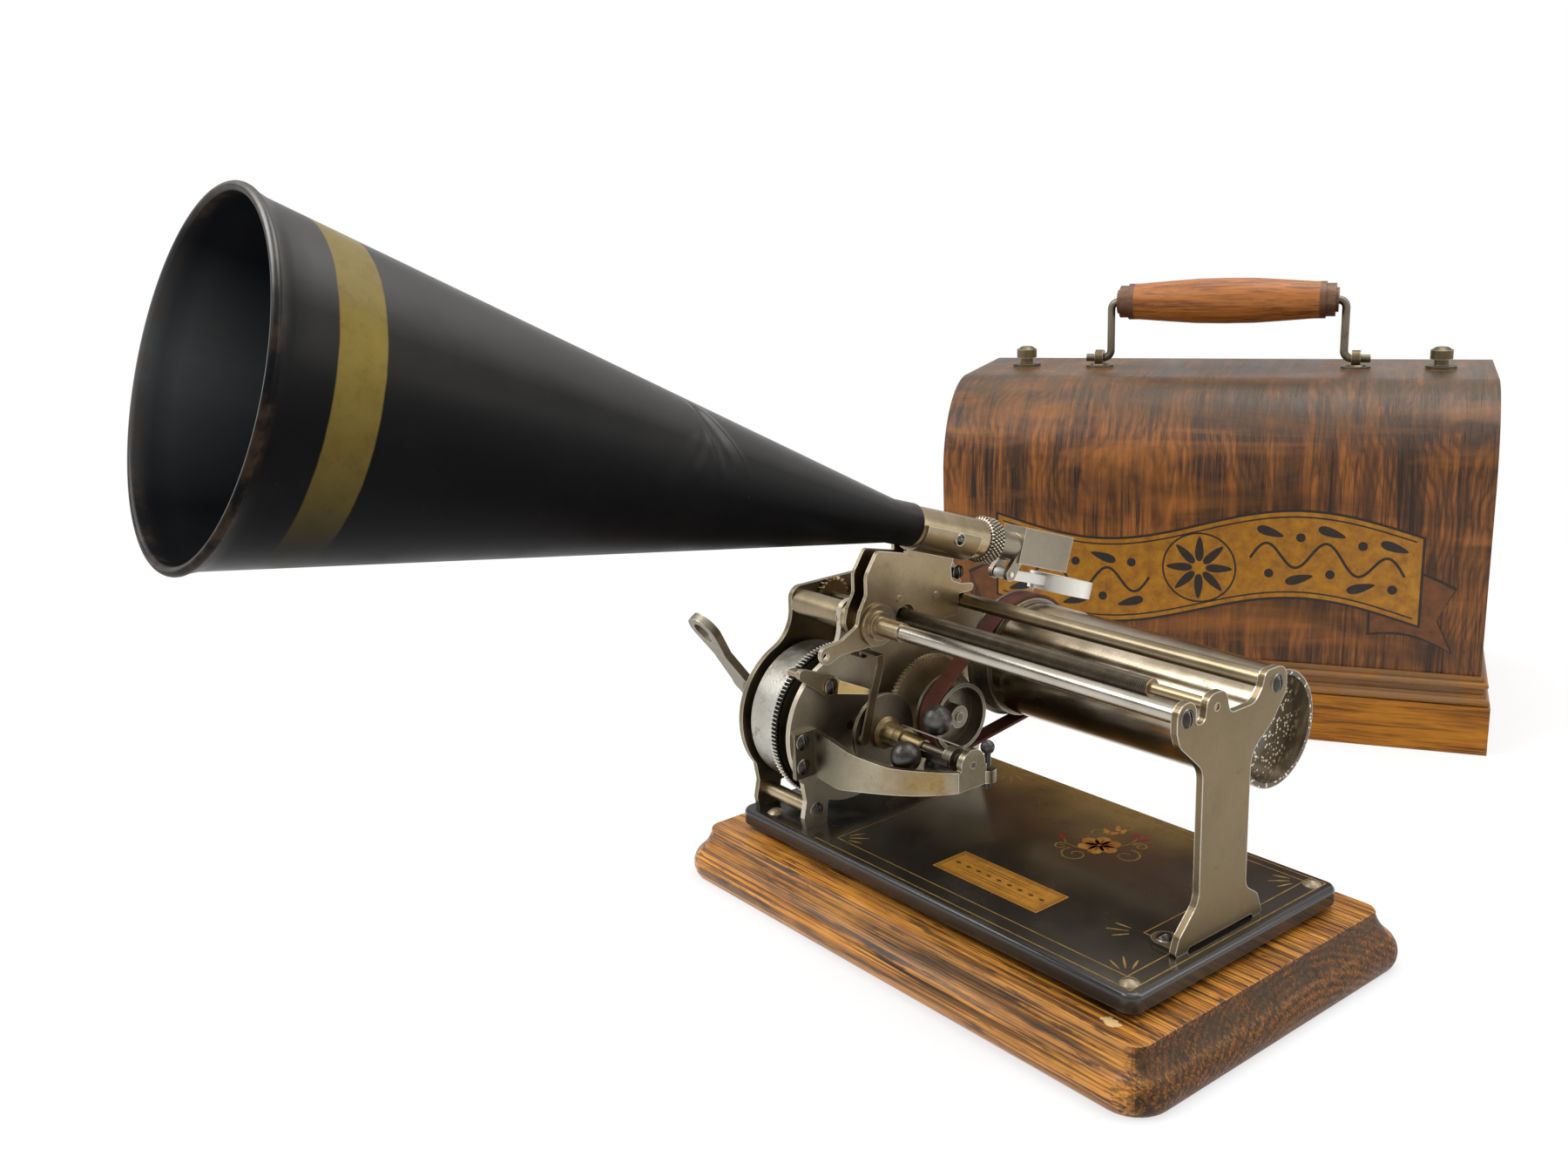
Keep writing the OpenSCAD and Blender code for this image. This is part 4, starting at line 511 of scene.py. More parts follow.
# Horn: black paint with a painted sheen on top, a faded gold band behind the mouth with painted shade on its
# underside, worn rim, dark grey inside with a painted sheen at its sides
BAND_BACK, BAND_FRONT, RIM_WEAR = (239.0, 239.5), (253.8, 253.3), (267.5, 269.5)
INNER_FACE, CLEAR_OF_DENT = (-0.3, -0.42), (30.0, 31.0)
m = black("horn", (0.0042, 0.0042, 0.0046, 1), (0.0068, 0.0063, 0.0062, 1), 0.29, 0.0, 0.12)
o = m.on_tube()
t = m.times(o[2], -1 / MM)
radius = m.length(o[0], o[1])
out = m.math("SUBTRACT", m.times(radius, 1 / MM), m.line(t, CONE_SLOPE, CONE_R - CONE_SLOPE * HORN_LAP))
clear = m.band(m.math("ABSOLUTE", m.math("SUBTRACT", t, DENT_T)), *CLEAR_OF_DENT)
inside = m.times(m.band(out, *INNER_FACE), clear)
outside = m.math("SUBTRACT", 1.0, inside)
ragged = m.line(m.noise(120, detail=4), 0.7, t)
gold = m.times(m.band(ragged, *BAND_BACK), m.band(ragged, *BAND_FRONT), outside)
up_face = m.math("DIVIDE", m.times(o[1], -1.0), radius)
side_face = m.band(m.math("ABSOLUTE", up_face), 0.75, 0.1)
# Painted sheen: the specular level grows towards the upper faces, less on the gold
dust = m.times(m.band(up_face, -0.25, 1.0), m.line(gold, -0.3, 1.0))
sheen = m.line(m.band(up_face, 0.46, 0.62), 0.3, m.times(dust, dust, 0.7))
sheen = m.times(sheen, m.line(gold, -0.4, 1.0))
sheen = m.line(sheen, outside, 0.03)
inner_sheen = m.times(inside, m.line(side_face, 0.5, 0.15))
m.set("Specular IOR Level", m.math("MAXIMUM", sheen, inner_sheen))
m.set("Specular Tint", (1.0, 0.95, 0.89, 1))
worn = m.line(m.band(m.noise(240, detail=5, rough=0.7), 0.25, 0.5), 0.25, 0.75)
olive = m.mix(m.noise(90, detail=4), lin(0.42, 0.36, 0.165), lin(0.53, 0.455, 0.225))
# Gold band darker on its underside: painted shade
olive = m.mix(m.band(up_face, -0.8, 0.3), lin(0.09, 0.08, 0.055), olive)
m.tint(m.times(gold, worn), olive)
# Inside lighter and bluer at its sides: painted sheen
m.tint(inside, m.mix(side_face, (0.006, 0.0065, 0.008, 1), (0.05, 0.056, 0.061, 1)))
rim = m.times(m.band(t, *RIM_WEAR), m.band(m.noise(150, detail=4), 0.44, 0.6))
m.tint(m.times(rim, 0.6), lin(0.24, 0.19, 0.15))

# Feed screw: fine thread with painted shade in its grooves, in front of its plain end
PITCH, THREAD_START, THREAD_END, PLAIN_END = 0.8, (-0.0645, -0.0642), (0.0694, 0.0691), (0.0688, 0.0693)
m = Mat("feed_screw", rough=0.35, metal=1.0)
x = m.xyz()[0]
saw = m.math("PINGPONG", m.times(x, 1 / (PITCH * MM)), 0.5)
thread = m.times(m.band(x, *THREAD_START), m.band(x, *THREAD_END))
dirt = m.band(m.noise(160, detail=5, rough=0.7), 0.35, 0.7)
m.set("Base Color", m.mix(dirt, (0.085, 0.066, 0.045, 1), (0.17, 0.138, 0.10, 1)))
m.tint(m.band(x, *PLAIN_END), (0.36, 0.275, 0.165, 1))
# Near-black grooves of the thread: painted shade
m.tint(m.times(thread, m.band(saw, 0.28, 0.05)), (0.025, 0.02, 0.014, 1))
m.bump(m.times(thread, saw), 0.7, 0.0004)

# Knurled ring: crossed grooves round the tube, darkened with painted shade
m = Mat("knurl", rough=0.3, metal=1.0)
o = m.on_tube()
lead = m.line(o[2], 1 / (KNURL_LEAD * MM), -RING_S / KNURL_LEAD)
turn = m.line(m.math("ARCTAN2", o[1], o[0]), KNURLS / (2 * math.pi), 0.5)
diamond = m.math("MINIMUM", m.math("PINGPONG", m.math("ADD", turn, lead), 0.5),
                 m.math("PINGPONG", m.math("SUBTRACT", turn, lead), 0.5))
m.set("Base Color", m.mix(m.noise(160, detail=4), (0.44, 0.37, 0.26, 1), (0.66, 0.60, 0.48, 1)))
# Near-black grooves of the knurl: painted shade
m.tint(m.band(diamond, 0.26, 0.1), (0.02, 0.016, 0.011, 1))
m.bump(diamond, 0.4, 0.0003)

# Mandrel: dark polished barrel, stippled web inside its open end with painted glints on its dimples
WEB_R = (0.0215, 0.0212)
m = metal("mandrel", (0.52, 0.44, 0.33, 1), (0.27, 0.215, 0.145, 1), BROWN, 0.4, (0.14, 0.28),
          grain=(0.1, 1, 1))
mandrel = middle("mandrel_shell")
web = m.times(m.band(m.off_axis(mandrel.y, mandrel.z), *WEB_R), m.band(m.normal()[0], 0.6, 0.9))
# Bright dots on the dark web: painted glints on the dimples
dots = m.band(m.voronoi(620, m.map((0.0, 1, 1))), 0.36, 0.2)
m.tint(web, m.mix(dots, (0.07, 0.048, 0.027, 1), (0.85, 0.77, 0.60, 1)))
m.set("Metallic", m.line(web, -0.9, 1.0))

# Nodes with a material other than their slot's
OWN_MATERIAL = {
    "bedplate": "japan", "frame_screws": "frame_screw", "outer_plate": "plate", "inner_plate": "inner",
    "plate_pillars": "tube", "end_post": "post", "spring_barrel": "drum", "great_gear": "teeth",
    "second_wheel": "dull_steel", "pulley_arbor": "dull_steel", "governor_wheel": "wheel",
    "governor_bracket": "bracket", "governor_balls": "ball", "governor_shaft": "dull_steel",
    "friction_disc": "dull_steel", "friction_leaf": "dark_leaf", "brake_leaf": "bright_brass",
    "winding_key": "grey_iron", "mandrel_shell": "mandrel", "feed_screw": "feed_screw",
    "carriage_plates": "carriage", "carriage_sleeve": "carriage", "horn_tube": "tube",
    "knurled_ring": "knurl", "reproducer_weight": "weight", "horn": "horn", "cover_ends": "end_oak",
    "cover_studs": "old_brass", "eyebolts": "old_brass", "handle_bails": "dull_steel"}
slot_of = {s["node"]: s["material_slot"] for s in frame["record"]["subparts"]}
for n, o in nodes.items():
    o.data.materials.clear()
    o.data.materials.append(mats[OWN_MATERIAL.get(n, slot_of[n])])


def piece(name, bm, place, mat, body):
    """Piece of the scene made from a built mesh; it rides on a body and has one material."""
    me = bpy.data.meshes.new(name)
    bm.to_mesh(me)
    bm.free()
    me.transform(place)
    me.materials.append(mats[mat])
    o = bpy.data.objects.new(name, me)
    scene.collection.objects.link(o)
    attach(o, body)
    return o


def skin(bm, rows):
    """Smooth faces between each ring of points and the next."""
    for lo, hi in zip(rows, rows[1:]):
        for i in range(len(lo)):
            bm.faces.new((lo[i - 1], lo[i], hi[i], hi[i - 1])).smooth = True


def turned(name, profile, angles, mat, body, node, shift):
    """Closed ring about the tube from (radius, place along it) in millimetres; shift moves each radius."""
    bm = bmesh.new()
    rows = []
    for r, z in profile:
        reach = [r + shift(r, z, a) for a in angles]
        rows.append([bm.verts.new((q * math.cos(a) * MM, q * math.sin(a) * MM, z * MM))
                     for q, a in zip(reach, angles)])
    skin(bm, rows + rows[:1])
    bmesh.ops.recalc_face_normals(bm, faces=bm.faces)
    place = Matrix.Translation(NECK) @ Matrix.Rotation(ALONG_TUBE, 4, "X")
    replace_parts(piece(name, bm, place, mat, body), node)


def full_turn(n):
    """Angles of n points round a circle."""
    return [2 * math.pi * i / n for i in range(n)]


def between(p, q, f):
    """Point at the share f of the way from p to q."""
    return (p[0] + (q[0] - p[0]) * f, p[1] + (q[1] - p[1]) * f)


# Horn of thin sheet with its rolled rim and the dent on its near side
ROW, DENT_ROW, HORN_POINTS, RIM_POINTS, RIM_START, RIM_SWEEP = 5.5, 0.6, 176, 12, -60, 225
SOCKET_START, BEVEL_R, BEVEL_L, SOCKET_EASE = 0.3, 0.2, 0.3, 2
outer = (CONE_R, -HORN_LAP), (HORN_R, -HORN_LAP - CONE_L)
inner = (SOCKET_R + SOCKET_STEP, -HORN_LAP), (HORN_R - SHEET, RIM_INSIDE - HORN_L)
rows_t = [HORN_LAP + ROW * (i + 1) for i in range(int(CONE_L / ROW))]
rows_t = [t for t in rows_t if abs(t - DENT_T) > DENT_REACH]
rows_t += [DENT_T - DENT_REACH + DENT_ROW * i for i in range(round(2 * DENT_REACH / DENT_ROW) + 1)]
shares = [(t - HORN_LAP) / CONE_L for t in sorted(rows_t)]
outline = [(SOCKET_R, -SOCKET_START), (CONE_R - BEVEL_R, -SOCKET_START),
           (CONE_R, -SOCKET_START - BEVEL_L), outer[0]]
outline += [between(*outer, f) for f in shares]
for i in range(RIM_POINTS + 1):
    a = math.radians(RIM_START + RIM_SWEEP * i / RIM_POINTS)
    outline.append((HORN_R + RIM * math.cos(a), -(HORN_L - RIM) - RIM * math.sin(a)))
outline += [between(*inner, f) for f in reversed(shares)]
outline += [inner[0], (SOCKET_R, SOCKET_EASE - HORN_LAP)]

# Grooves of the dent: start and end as (place along the horn, degrees of turn), width, depth, ridge
SHARP = ((118.5, -60), (107, -18), 6.0, 0.85, 0.4)
SOFT = ((120, -32), (132, 6), 9.0, 0.75, 0.0)
# Sheet's radius at the dent, width of a ridge, how fast a groove starts and ends, how much points crowd there
DENT_R, RIDGE, FADE_IN, FADE_OUT, CROWDED = 27.02, 1.6, 14, 9, 0.6


def groove(t, turn, start, end, width, depth, lip):
    """Shift of a valley with ridges beside it, from start to end (place along the horn, degrees of turn)."""
    here, p0, p1 = (Vector((q[0], math.radians(q[1]) * DENT_R)) for q in ((t, turn), start, end))
    way, d = p1 - p0, here - p0
    f = d.dot(way) / way.length_squared
    w = width * (0.45 + 0.55 * min(1.0, max(0.0, f)))
    x = abs(d.x * way.y - d.y * way.x) / way.length / w
    fade = 1 / (1 + math.exp(-FADE_IN * f)) / (1 + math.exp(FADE_OUT * (f - 1)))
    return fade * (lip * math.exp(-((x - 1) * w / RIDGE) ** 2) - depth * max(0.0, 1 - x * x) ** 2)


def dent(r, z, a):
    """Knock on the near side: a ridged valley from the top towards the neck, a soft one towards the mouth."""
    t = -z
    if abs(t - DENT_T) > DENT_REACH:
        return 0.0
    turn = (math.degrees(a) + 180) % 360 - 180
    return groove(t, turn, *SHARP) + groove(t, turn, *SOFT)


closer_at_dent = [a - CROWDED * math.sin(a - DENT_TURN) for a in full_turn(HORN_POINTS)]
turned("horn_sheet", outline, closer_at_dent, "horn", "horn", "horn", dent)

# Knurled ring of the horn tube
RING_R, RING_W, RING_BORE, CHAMFER, RING_STEP = 9.4, 8.0, 5.72, 0.8, 2
RING_ROWS, RING_POINTS, KNURL_DEPTH, KNURL_WIDTH = 36, 368, 0.5, 0.22
outline = [(RING_BORE, RING_S), (RING_R - CHAMFER, RING_S)]
for i in range(RING_ROWS + 1):
    outline.append((RING_R, RING_S + CHAMFER + (RING_W - 3 * CHAMFER) * i / RING_ROWS))
outline += [(RING_R - CHAMFER, RING_S + RING_W - CHAMFER), (RING_R - RING_STEP, RING_S + RING_W),
            (RING_BORE, RING_S + RING_W)]


def knurl(r, z, a):
    """Crossed grooves in the ring's rim."""
    if r < RING_R:
        return 0.0
    lead = (z - RING_S) / KNURL_LEAD
    turn = a * KNURLS / (2 * math.pi)
    near = min(abs((turn + s * lead + 100) % 1 - 0.5) for s in (1, -1))
    return -KNURL_DEPTH * max(0.0, 1 - near / KNURL_WIDTH)


turned("ring_knurl", outline, full_turn(RING_POINTS), "knurl", "ring", "knurled_ring", knurl)

# Moulded base: underside, round nose, shallow cove, small lip and flat top, as (inset, height)
HALF_L, HALF_W, BASE_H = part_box("wood_base")[1] / MM
BASE_CORNER, BASE_EDGE, EDGE_BEND = 14.0, 0.8, 0.25
FOOT, BEND, LIP = (1.7, 0.0), (2.9, 11.0), (8.0, 18.4)
NOSE_WAY, COVE_WAY = math.radians(129), math.radians(38.7)


def arc(p, q, start, n):
    """Points after p up to q on the circle that leaves p at the angle start."""
    way = Vector(q) - Vector(p)
    bend = 2 * (math.atan2(way.y, way.x) - start)
    radius = way.length / 2 / math.sin(bend / 2)
    angles = [start + bend * i / n for i in range(1, n + 1)]
    return [(p[0] + radius * (math.sin(a) - math.sin(start)), p[1] + radius * (math.cos(start) - math.cos(a)))
            for a in angles]


def base_ring(inset):
    """Points round the base, set in from its edge, with ten to each round corner."""
    ring = []
    for corner in range(0, 360, 90):
        out = math.radians(corner + 45)
        x = math.copysign(HALF_L - BASE_CORNER, math.cos(out))
        y = math.copysign(HALF_W - BASE_CORNER, math.sin(out))
        for a in (math.radians(corner + 10 * k) for k in range(10)):
            r = BASE_CORNER - inset
            ring.append((x + r * math.cos(a), y + r * math.sin(a)))
    return ring


section = [FOOT] + arc(FOOT, BEND, NOSE_WAY, 14) + arc(BEND, LIP, COVE_WAY, 12)
section += [(LIP[0], BASE_H - BASE_EDGE), (LIP[0] + EDGE_BEND, BASE_H - EDGE_BEND),
            (LIP[0] + BASE_EDGE, BASE_H)]
bm = bmesh.new()
rows = [[bm.verts.new((x * MM, y * MM, z * MM)) for x, y in base_ring(inset)] for inset, z in section]
skin(bm, rows)
bm.faces.new(rows[0][::-1])
bm.faces.new(rows[-1])
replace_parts(piece("base_moulding", bm, Matrix(), "base_oak", "base"), "wood_base")


def paint(name, tone, dark, metallic, rough, wear, under=(0.012, 0.011, 0.01, 1)):
    """Thin painted leaf: uneven tone, rubbed through in places."""
    m = Mat(name, metal=metallic)
    cloud = m.noise(180, detail=5, rough=0.7)
    m.set("Base Color", m.mix(m.band(cloud, 0.35, 0.7), tone, dark))
    m.tint(m.times(m.band(m.noise(420, detail=5, rough=0.75), 0.55, 0.68), wear), under)
    m.set("Roughness", m.line(cloud, 0.25, rough - 0.1))
    m.bump(m.noise(1400, detail=3), 0.2, 0.0001)


# Gold paint, foil and coloured ornament
paint("gold_line", lin(0.66, 0.53, 0.27), lin(0.46, 0.36, 0.17), 0.3, 0.4, 0.4)
paint("gold_leaf", lin(0.76, 0.53, 0.17), lin(0.62, 0.40, 0.11), 0.3, 0.38, 0.12)
paint("gold_shade", lin(0.52, 0.30, 0.09), lin(0.40, 0.22, 0.07), 0.2, 0.4, 0.2)
paint("petal", lin(0.84, 0.60, 0.25), lin(0.64, 0.37, 0.12), 0.1, 0.4, 0.2)
paint("red_bud", lin(0.66, 0.19, 0.12), lin(0.42, 0.10, 0.07), 0.0, 0.4, 0.2)
paint("dark_ink", lin(0.12, 0.085, 0.05), lin(0.07, 0.05, 0.035), 0.0, 0.5, 0.15, lin(0.5, 0.32, 0.1))
paint("banner", lin(0.66, 0.45, 0.08), lin(0.50, 0.31, 0.05), 0.15, 0.42, 0.35, lin(0.28, 0.15, 0.07))
paint("banner_back", lin(0.42, 0.24, 0.08), lin(0.30, 0.16, 0.06), 0.1, 0.45, 0.35, lin(0.25, 0.13, 0.06))


def strip(pairs):
    """Quads between each pair of points and the next."""
    return [[a[0], a[1], b[1], b[0]] for a, b in zip(pairs, pairs[1:])]


def stroke(points, width):
    """Quads of a line of the given width, or width function of 0..1, with mitred corners."""
    closed = points[0] == points[-1]
    p = [Vector(q) for q in (points[:-1] if closed else points)]
    n = len(p)
    sides = []
    for i in range(n):
        a = p[i - 1] if closed or i else p[i] * 2 - p[i + 1]
        b = p[(i + 1) % n] if closed or i < n - 1 else p[i] * 2 - p[i - 1]
        d1, d2 = (p[i] - a).normalized(), (b - p[i]).normalized()
        t = (d1 + d2).normalized()
        w = (width(i / (n - 1)) if callable(width) else width) / 2 / max(0.35, t.dot(d1))
        across = Vector((-t.y, t.x)) * w
        sides.append((p[i] + across, p[i] - across))
    return strip(sides + sides[:1] if closed else sides)


def blob(cx, cy, a, b, turn, point=0.0):
    """Quads of a leaf or petal: an ellipse drawn out to a point at its far end."""
    n, least = 20, 0.02
    c, s = math.cos(turn), math.sin(turn)
    rows = []
    for i in range(n + 1):
        u = -1 + 2 * i / n
        w = max(least, b * math.sqrt(max(0.0, 1 - u * u)) * (1 - point * (u + 1) / 2))
        rows.append([(cx + c * a * u - s * k * w, cy + s * a * u + c * k * w) for k in (1, -1)])
    return strip(rows)


def curl(cx, cy, r0, r1, start, turns, n=28):
    """Points of a spiral tendril."""
    pts = []
    for i in range(n + 1):
        f = i / n
        r = r0 + (r1 - r0) * f
        a = start + turns * 2 * math.pi * f
        pts.append((cx + r * math.cos(a), cy + r * math.sin(a)))
    return pts


def rectangle(x0, y0, x1, y1, inset=0.0):
    """Corners of a rectangle, set in from its sides."""
    x0, y0, x1, y1 = x0 + inset, y0 + inset, x1 - inset, y1 - inset
    return [(x0, y0), (x1, y0), (x1, y1), (x0, y1)]


def inlay(name, quads, mat, place, body, thick, level):
    """Thin closed leaf laid on a face; its outlines are in millimetres in that face's plane."""
    bm = bmesh.new()
    for q in quads:
        bm.faces.new([bm.verts.new((v[0] * MM, v[1] * MM, (level + thick) * MM)) for v in q])
    bmesh.ops.remove_doubles(bm, verts=bm.verts, dist=1e-6)
    bmesh.ops.recalc_face_normals(bm, faces=bm.faces)
    for f in bm.faces:
        if f.normal.z < 0:
            f.normal_flip()
    under = bmesh.ops.extrude_face_region(bm, geom=list(bm.faces), use_keep_orig=True)
    for v in [g for g in under["geom"] if isinstance(g, bmesh.types.BMVert)]:
        v.co.z = level * MM
    bmesh.ops.recalc_face_normals(bm, faces=bm.faces)
    piece(name, bm, place, mat, body)


# Ornament lies a hair above its face; thickness of a leaf, of the ribbon and of ink in millimetres
HAIR = 0.00001
LEAF, CLOTH, INK = 0.05, 0.04, 0.03
ON_BED = Matrix.Translation((0, 0, BED + HAIR))
FRONT = Matrix(((1, 0, 0, 0), (0, 0, -1, COVER_FRONT - 2 * HAIR), (0, 1, 0, 0), (0, 0, 0, 1)))
ON_COVER = Matrix.Translation(COVER) @ Matrix.Rotation(TURN, 4, "Z") @ FRONT


def on_bed(name, quads, mat, thick=LEAF, level=0.0, place=ON_BED):
    inlay(name, quads, mat, place, "base", thick, level)


def on_cover(name, quads, mat, thick, level):
    inlay(name, quads, mat, ON_COVER, "cover", thick, level)


# Pinstripes of the bedplate, the inner one with a notch round the post's foot
STRIPE_X0, STRIPE_Y0, STRIPE_X1, STRIPE_Y1 = -50.5, -47.2, 91.5, 49.6
NOTCH_X, NOTCH_Y = 77.2, 21
OUTER_STRIPE, INNER_W, OUTER_W = (-57, -53.2, 97.6, 53.4), 0.42, 0.46
edge = [(STRIPE_X0, STRIPE_Y0), (STRIPE_X1, STRIPE_Y0), (STRIPE_X1, -NOTCH_Y), (NOTCH_X, -NOTCH_Y),
        (NOTCH_X, NOTCH_Y), (STRIPE_X1, NOTCH_Y), (STRIPE_X1, STRIPE_Y1), (STRIPE_X0, STRIPE_Y1)]
on_bed("pinstripe_inner", stroke(edge + edge[:1], INNER_W), "gold_line")
on_bed("pinstripe_outer", stroke(rectangle(*OUTER_STRIPE), OUTER_W), "gold_line")

# Fans of three rays in the inner stripe's corners
FAN_START, FAN_END, FAN_SHORTER, FAN_SPREAD = 5.0, 12.5, 1.5, 24
quads = []
for cx, cy, way in [(STRIPE_X0, STRIPE_Y0, 42), (STRIPE_X1, STRIPE_Y0, 135), (STRIPE_X1, STRIPE_Y1, 225),
                    (NOTCH_X, -NOTCH_Y, 212), (STRIPE_X0, STRIPE_Y1, -45), (NOTCH_X, NOTCH_Y, 148)]:
    for ray in (-1, 0, 1):
        a = math.radians(way + ray * FAN_SPREAD)
        tip = FAN_END - FAN_SHORTER * abs(ray)
        reach = (FAN_START, (FAN_START + tip) / 2, tip)
        quads += stroke([(cx + r * math.cos(a), cy + r * math.sin(a)) for r in reach],
                        lambda f: 0.35 + 0.55 * math.sin(math.pi * f))
on_bed("corner_fans", quads, "gold_line")

# Gold plate with a dark border, four rules and a row of lozenges
LABEL = (-8.0, -37.0, 43.4, -19.8)
BORDERS = ((1.0, 0.3), (1.9, 0.16))
RULES = ((-4.4, 14), (-2.9, 19), (2.9, 19), (4.4, 14))
LOZENGES, LOZENGE_L, LOZENGE_W = 9, 1.5, 0.8
on_bed("label_leaf", [rectangle(*LABEL)], "gold_leaf")
quads = []
for inset, width in BORDERS:
    border = rectangle(*LABEL, inset)
    quads += stroke(border + border[:1], width)
mid_x, mid_y = (LABEL[0] + LABEL[2]) / 2, (LABEL[1] + LABEL[3]) / 2
for i in range(LOZENGES):
    x = LABEL[0] + (LABEL[2] - LABEL[0]) * (i + 1) / (LOZENGES + 1)
    quads.append([(x - LOZENGE_L, mid_y), (x, mid_y - LOZENGE_W),
                  (x + LOZENGE_L, mid_y), (x, mid_y + LOZENGE_W)])
for y, half in RULES:
    quads += stroke([(mid_x + s * half, mid_y + y) for s in (-1, 0, 1)],
                    lambda f: 0.12 + 0.3 * math.sin(math.pi * f))
on_bed("label_rules", quads, "dark_ink", INK, LEAF)

# Spray of flowers on the bedplate, drawn about its own middle
SPRAY, SPRAY_TURN, SPRAY_SCALE = Vector((0.022, 0.0215, BED + HAIR)), math.radians(42), 1.12
FLOWER_Y, PETALS, PETAL_TURN, PETAL_LEVEL = -1.5, 6, math.radians(12), 0.02
spin = Matrix.Translation(SPRAY) @ Matrix.Rotation(SPRAY_TURN, 4, "Z")
spin = spin @ Matrix.Diagonal((SPRAY_SCALE, SPRAY_SCALE, 1.0, 1.0))
petals = blob(0, FLOWER_Y, 1.5, 1.5, 0)
veins, stems, buds = [], [], []
for turn in full_turn(PETALS):
    a = turn + PETAL_TURN
    petals += blob(4.1 * math.cos(a), FLOWER_Y + 3.6 * math.sin(a), 3.3, 2.3, a, point=-0.25)
    veins += blob(3.0 * math.cos(a), FLOWER_Y + 2.7 * math.sin(a), 1.9, 0.35, a)
for px, py, a in [(5.5, 8.5, 20), (8.5, 10.2, 60), (2.8, 10.0, 110), (6.8, 12.6, 85)]:
    petals += blob(px, py, 2.4, 1.2, math.radians(a), point=0.5)
for c in [curl(-8.2, -8.8, 5.2, 0.9, 1.9, 1.25), curl(8.6, -9.0, 5.0, 0.9, 1.2, -1.25),
          curl(-12.8, -2.6, 2.6, 0.6, 0.4, 1.3), curl(13.6, -1.6, 2.7, 0.6, 2.7, -1.3),
          curl(0.5, 9.0, 3.0, 0.7, 3.8, -1.1), curl(9.8, 13.6, 2.6, 0.6, 4.2, 1.1)]:
    stems += stroke(c, lambda f: 0.75 - 0.45 * f)
for points in [[(-4, -4), (-8, -3.4), (-11, -0.4), (-11.8, 3.6)],
               [(4, -3), (8.6, -1), (11.6, 2.2), (13, 5.2)], [(0.4, 2.4), (2, 6), (5, 9)]]:
    stems += stroke(points, 0.5)
for px, py, a in [(-12.2, 5.2, 100), (12.6, 6.8, 65), (15.4, 5.0, 20)]:
    buds += blob(px, py, 2.1, 1.35, math.radians(a), point=0.3)
on_bed("spray_stems", stems, "gold_line", place=spin)
on_bed("spray_petals", petals, "petal", LEAF, PETAL_LEVEL, spin)
on_bed("spray_veins", veins, "gold_shade", INK, PETAL_LEVEL + LEAF, spin)
on_bed("spray_buds", buds, "red_bud", LEAF, PETAL_LEVEL, spin)

# Waved ribbon on the cover's front: middle height, swing and half wave, half length and half width, border
RIBBON_Z, SWING, HALF_WAVE = 83, 9, 96
RIBBON_L, RIBBON_W, BORDER = 101, 21, 1.2
RULE_L, RULE_IN, RULE_OUT = 98.5, 18.2, 19.0
TAIL_U, TAIL_L, TAIL_W, TAIL_ROOT, TAIL_DROP, TAIL_FALL, TAIL_BOW = 80, 36, 15, 88, 15, 7, 4
NOTCH, NOTCH_AT, LAYER = 7, 0.75, 0.03


def wave(u):
    """Height of the ribbon's middle at u along the cover."""
    return RIBBON_Z + SWING * math.sin(u / HALF_WAVE * math.pi)


def ribbon(half, lo, hi, n=48):
    """Quads between two copies of the wave, lo and hi above its middle."""
    us = [half * (2 * i / n - 1) for i in range(n + 1)]
    return strip([((u, wave(u) + lo), (u, wave(u) + hi)) for u in us])


def tail(s, grow):
    """Quads of a folded end behind the ribbon, swallow-tailed."""
    rows = []
    for k in range(13):
        f = k / 12
        u = s * (TAIL_U - grow + (TAIL_L + 2 * grow) * f)
        mid = wave(s * TAIL_ROOT) - TAIL_DROP - TAIL_FALL * f + TAIL_BOW * math.sin(f * math.pi)
        notch = (NOTCH + grow) * max(0.0, f - NOTCH_AT) / (1 - NOTCH_AT)
        half = TAIL_W + grow
        rows.append(((u, mid - half), (u - s * notch, mid), (u, mid + half)))
    return strip([r[:2] for r in rows]) + strip([r[1:] for r in rows])


edge_w = RIBBON_W + BORDER
on_cover("banner_tail_edges", tail(-1, BORDER) + tail(1, BORDER), "dark_ink", CLOTH, 0.0)
on_cover("banner_tails", tail(-1, 0) + tail(1, 0), "banner_back", CLOTH, LAYER)
on_cover("banner_outline", ribbon(RIBBON_L + BORDER, -edge_w, edge_w), "dark_ink", CLOTH, 2 * LAYER)
on_cover("banner_field", ribbon(RIBBON_L, -RIBBON_W, RIBBON_W), "banner", CLOTH, 3 * LAYER)

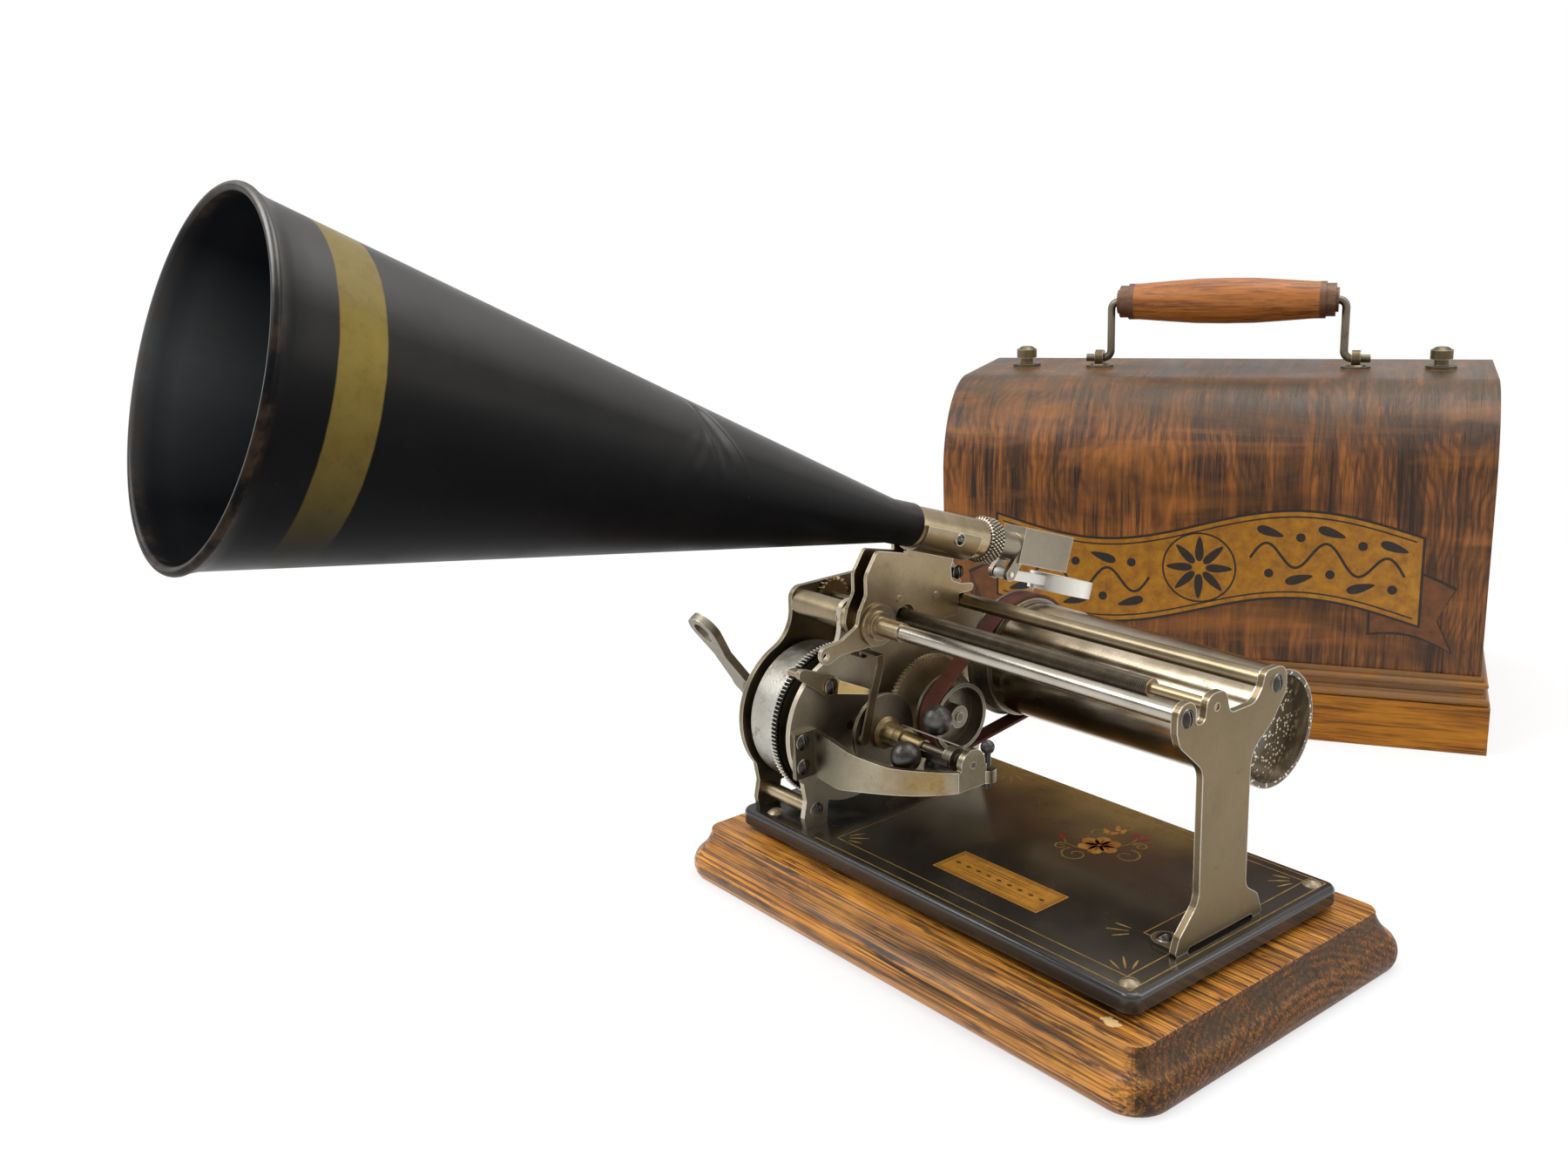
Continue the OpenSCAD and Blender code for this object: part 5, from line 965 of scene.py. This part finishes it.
# Rules along the ribbon, a vine with leaves and berries on both sides of a round flower
VINE_U, VINE_L, VINE_SWING, VINE_W, BAY = 24, 70, 6.5, 1.3, 14
LEAF_AT, LEAF_L, LEAF_W, LEAF_LEAN, BERRY_AT, BERRY_R, AHEAD = 12.0, 6.6, 3.0, 0.3, 8.5, 2.2, 2
ROSE_PETALS, ROSE_R, ROSE_L, ROSE_W, CIRCLE_R, CIRCLE_W = 8, 9.5, 6.4, 2.6, 17.4, 0.9
quads = ribbon(RULE_L, RULE_IN, RULE_OUT) + ribbon(RULE_L, -RULE_OUT, -RULE_IN)
for s in (-1, 1):
    us = [s * (VINE_U + VINE_L * i / 80) for i in range(81)]
    vine = [(u, wave(u) + VINE_SWING * math.sin((u - s * VINE_U) / BAY * math.pi)) for u in us]
    quads += stroke(vine, VINE_W)
    for i in range(int(VINE_L / BAY)):
        u = s * (VINE_U + BAY * (i + 0.5))
        w = s if i % 2 else -s
        lean = w * LEAF_LEAN + (0 if s > 0 else math.pi)
        quads += blob(u + AHEAD * s, wave(u) - w * LEAF_AT, LEAF_L, LEAF_W, lean, point=0.6)
        quads += blob(u + AHEAD * s, wave(u) + w * BERRY_AT, BERRY_R, BERRY_R, 0)
for a in full_turn(ROSE_PETALS):
    quads += blob(ROSE_R * math.cos(a), wave(0) + ROSE_R * math.sin(a), ROSE_L, ROSE_W, a, point=0.5)
quads += stroke(curl(0, wave(0), CIRCLE_R, CIRCLE_R, 0, 1.0, 48), CIRCLE_W)
on_cover("banner_vine", quads, "dark_ink", INK, 4 * LAYER)

# Sky: pale above, dimmer below, white where it is seen low down
WHITE, LOW_DOWN = (1.0, 1.0, 1.0, 1), (0.3, 0.14)
world = bpy.data.worlds.new("world")
scene.world = world
world.use_nodes = True
sky = Graph(world.node_tree, "Generated")
height = sky.xyz()[2]
light = sky.ramp(height, [(0.0, (0.30, 0.29, 0.28, 1)), (0.3, (0.36, 0.355, 0.35, 1)), (0.75, WHITE)])
seen_low = sky.times(sky.seen(), sky.band(height, *LOW_DOWN))
sky.put(world.node_tree.nodes["Background"].inputs["Color"], sky.mix(seen_low, light, WHITE))


def area(name, loc, target, size, power):
    """Soft light aimed at a place."""
    d = bpy.data.lights.new(name, "AREA")
    d.shape = "RECTANGLE"
    d.size, d.size_y = size
    d.energy = power
    o = bpy.data.objects.new(name, d)
    scene.collection.objects.link(o)
    o.location = loc
    o.rotation_euler = (Vector(target) - Vector(loc)).to_track_quat("-Z", "Y").to_euler()


area("key", (-0.55, -0.75, 1.15), (0, 0, 0.08), (0.8, 0.8), 12)
area("side", (0.9, 0.75, 0.8), (0, 0, 0.08), (0.5, 0.9), 4)
area("top", (0.1, 0.5, 1.5), (0, 0.1, 0.0), (1.2, 0.8), 10)

# Pale floor, whiter where it is seen away from the part
FLOOR_NEAR, FLOOR_FAR, FLOOR_SIZE, FLOOR_Z = 0.42, 0.75, 20, -0.0002
bpy.ops.mesh.primitive_plane_add(size=FLOOR_SIZE, location=(0, 0, FLOOR_Z))
floor = bpy.context.object
floor.name = "floor"
m = Mat("floor", rough=0.7)
m.set("Base Color", m.mix(m.noise(3, detail=2), (0.86, 0.86, 0.86, 1), (0.9, 0.9, 0.9, 1)))
m.bump(m.noise(400), 0.05, 0.0002)
o = m.xyz()
away = m.band(m.length(o[0], o[1]), FLOOR_NEAR, FLOOR_FAR)
white = m.node("ShaderNodeEmission")
both = m.node("ShaderNodeMixShader", {0: m.times(m.seen(), m.line(away, 0.35, 0.65)), 1: m.b.outputs[0],
                                      2: white.outputs[0]})
m.put(m.t.nodes["Material Output"].inputs[0], both.outputs[0])
floor.data.materials.append(mats["floor"])
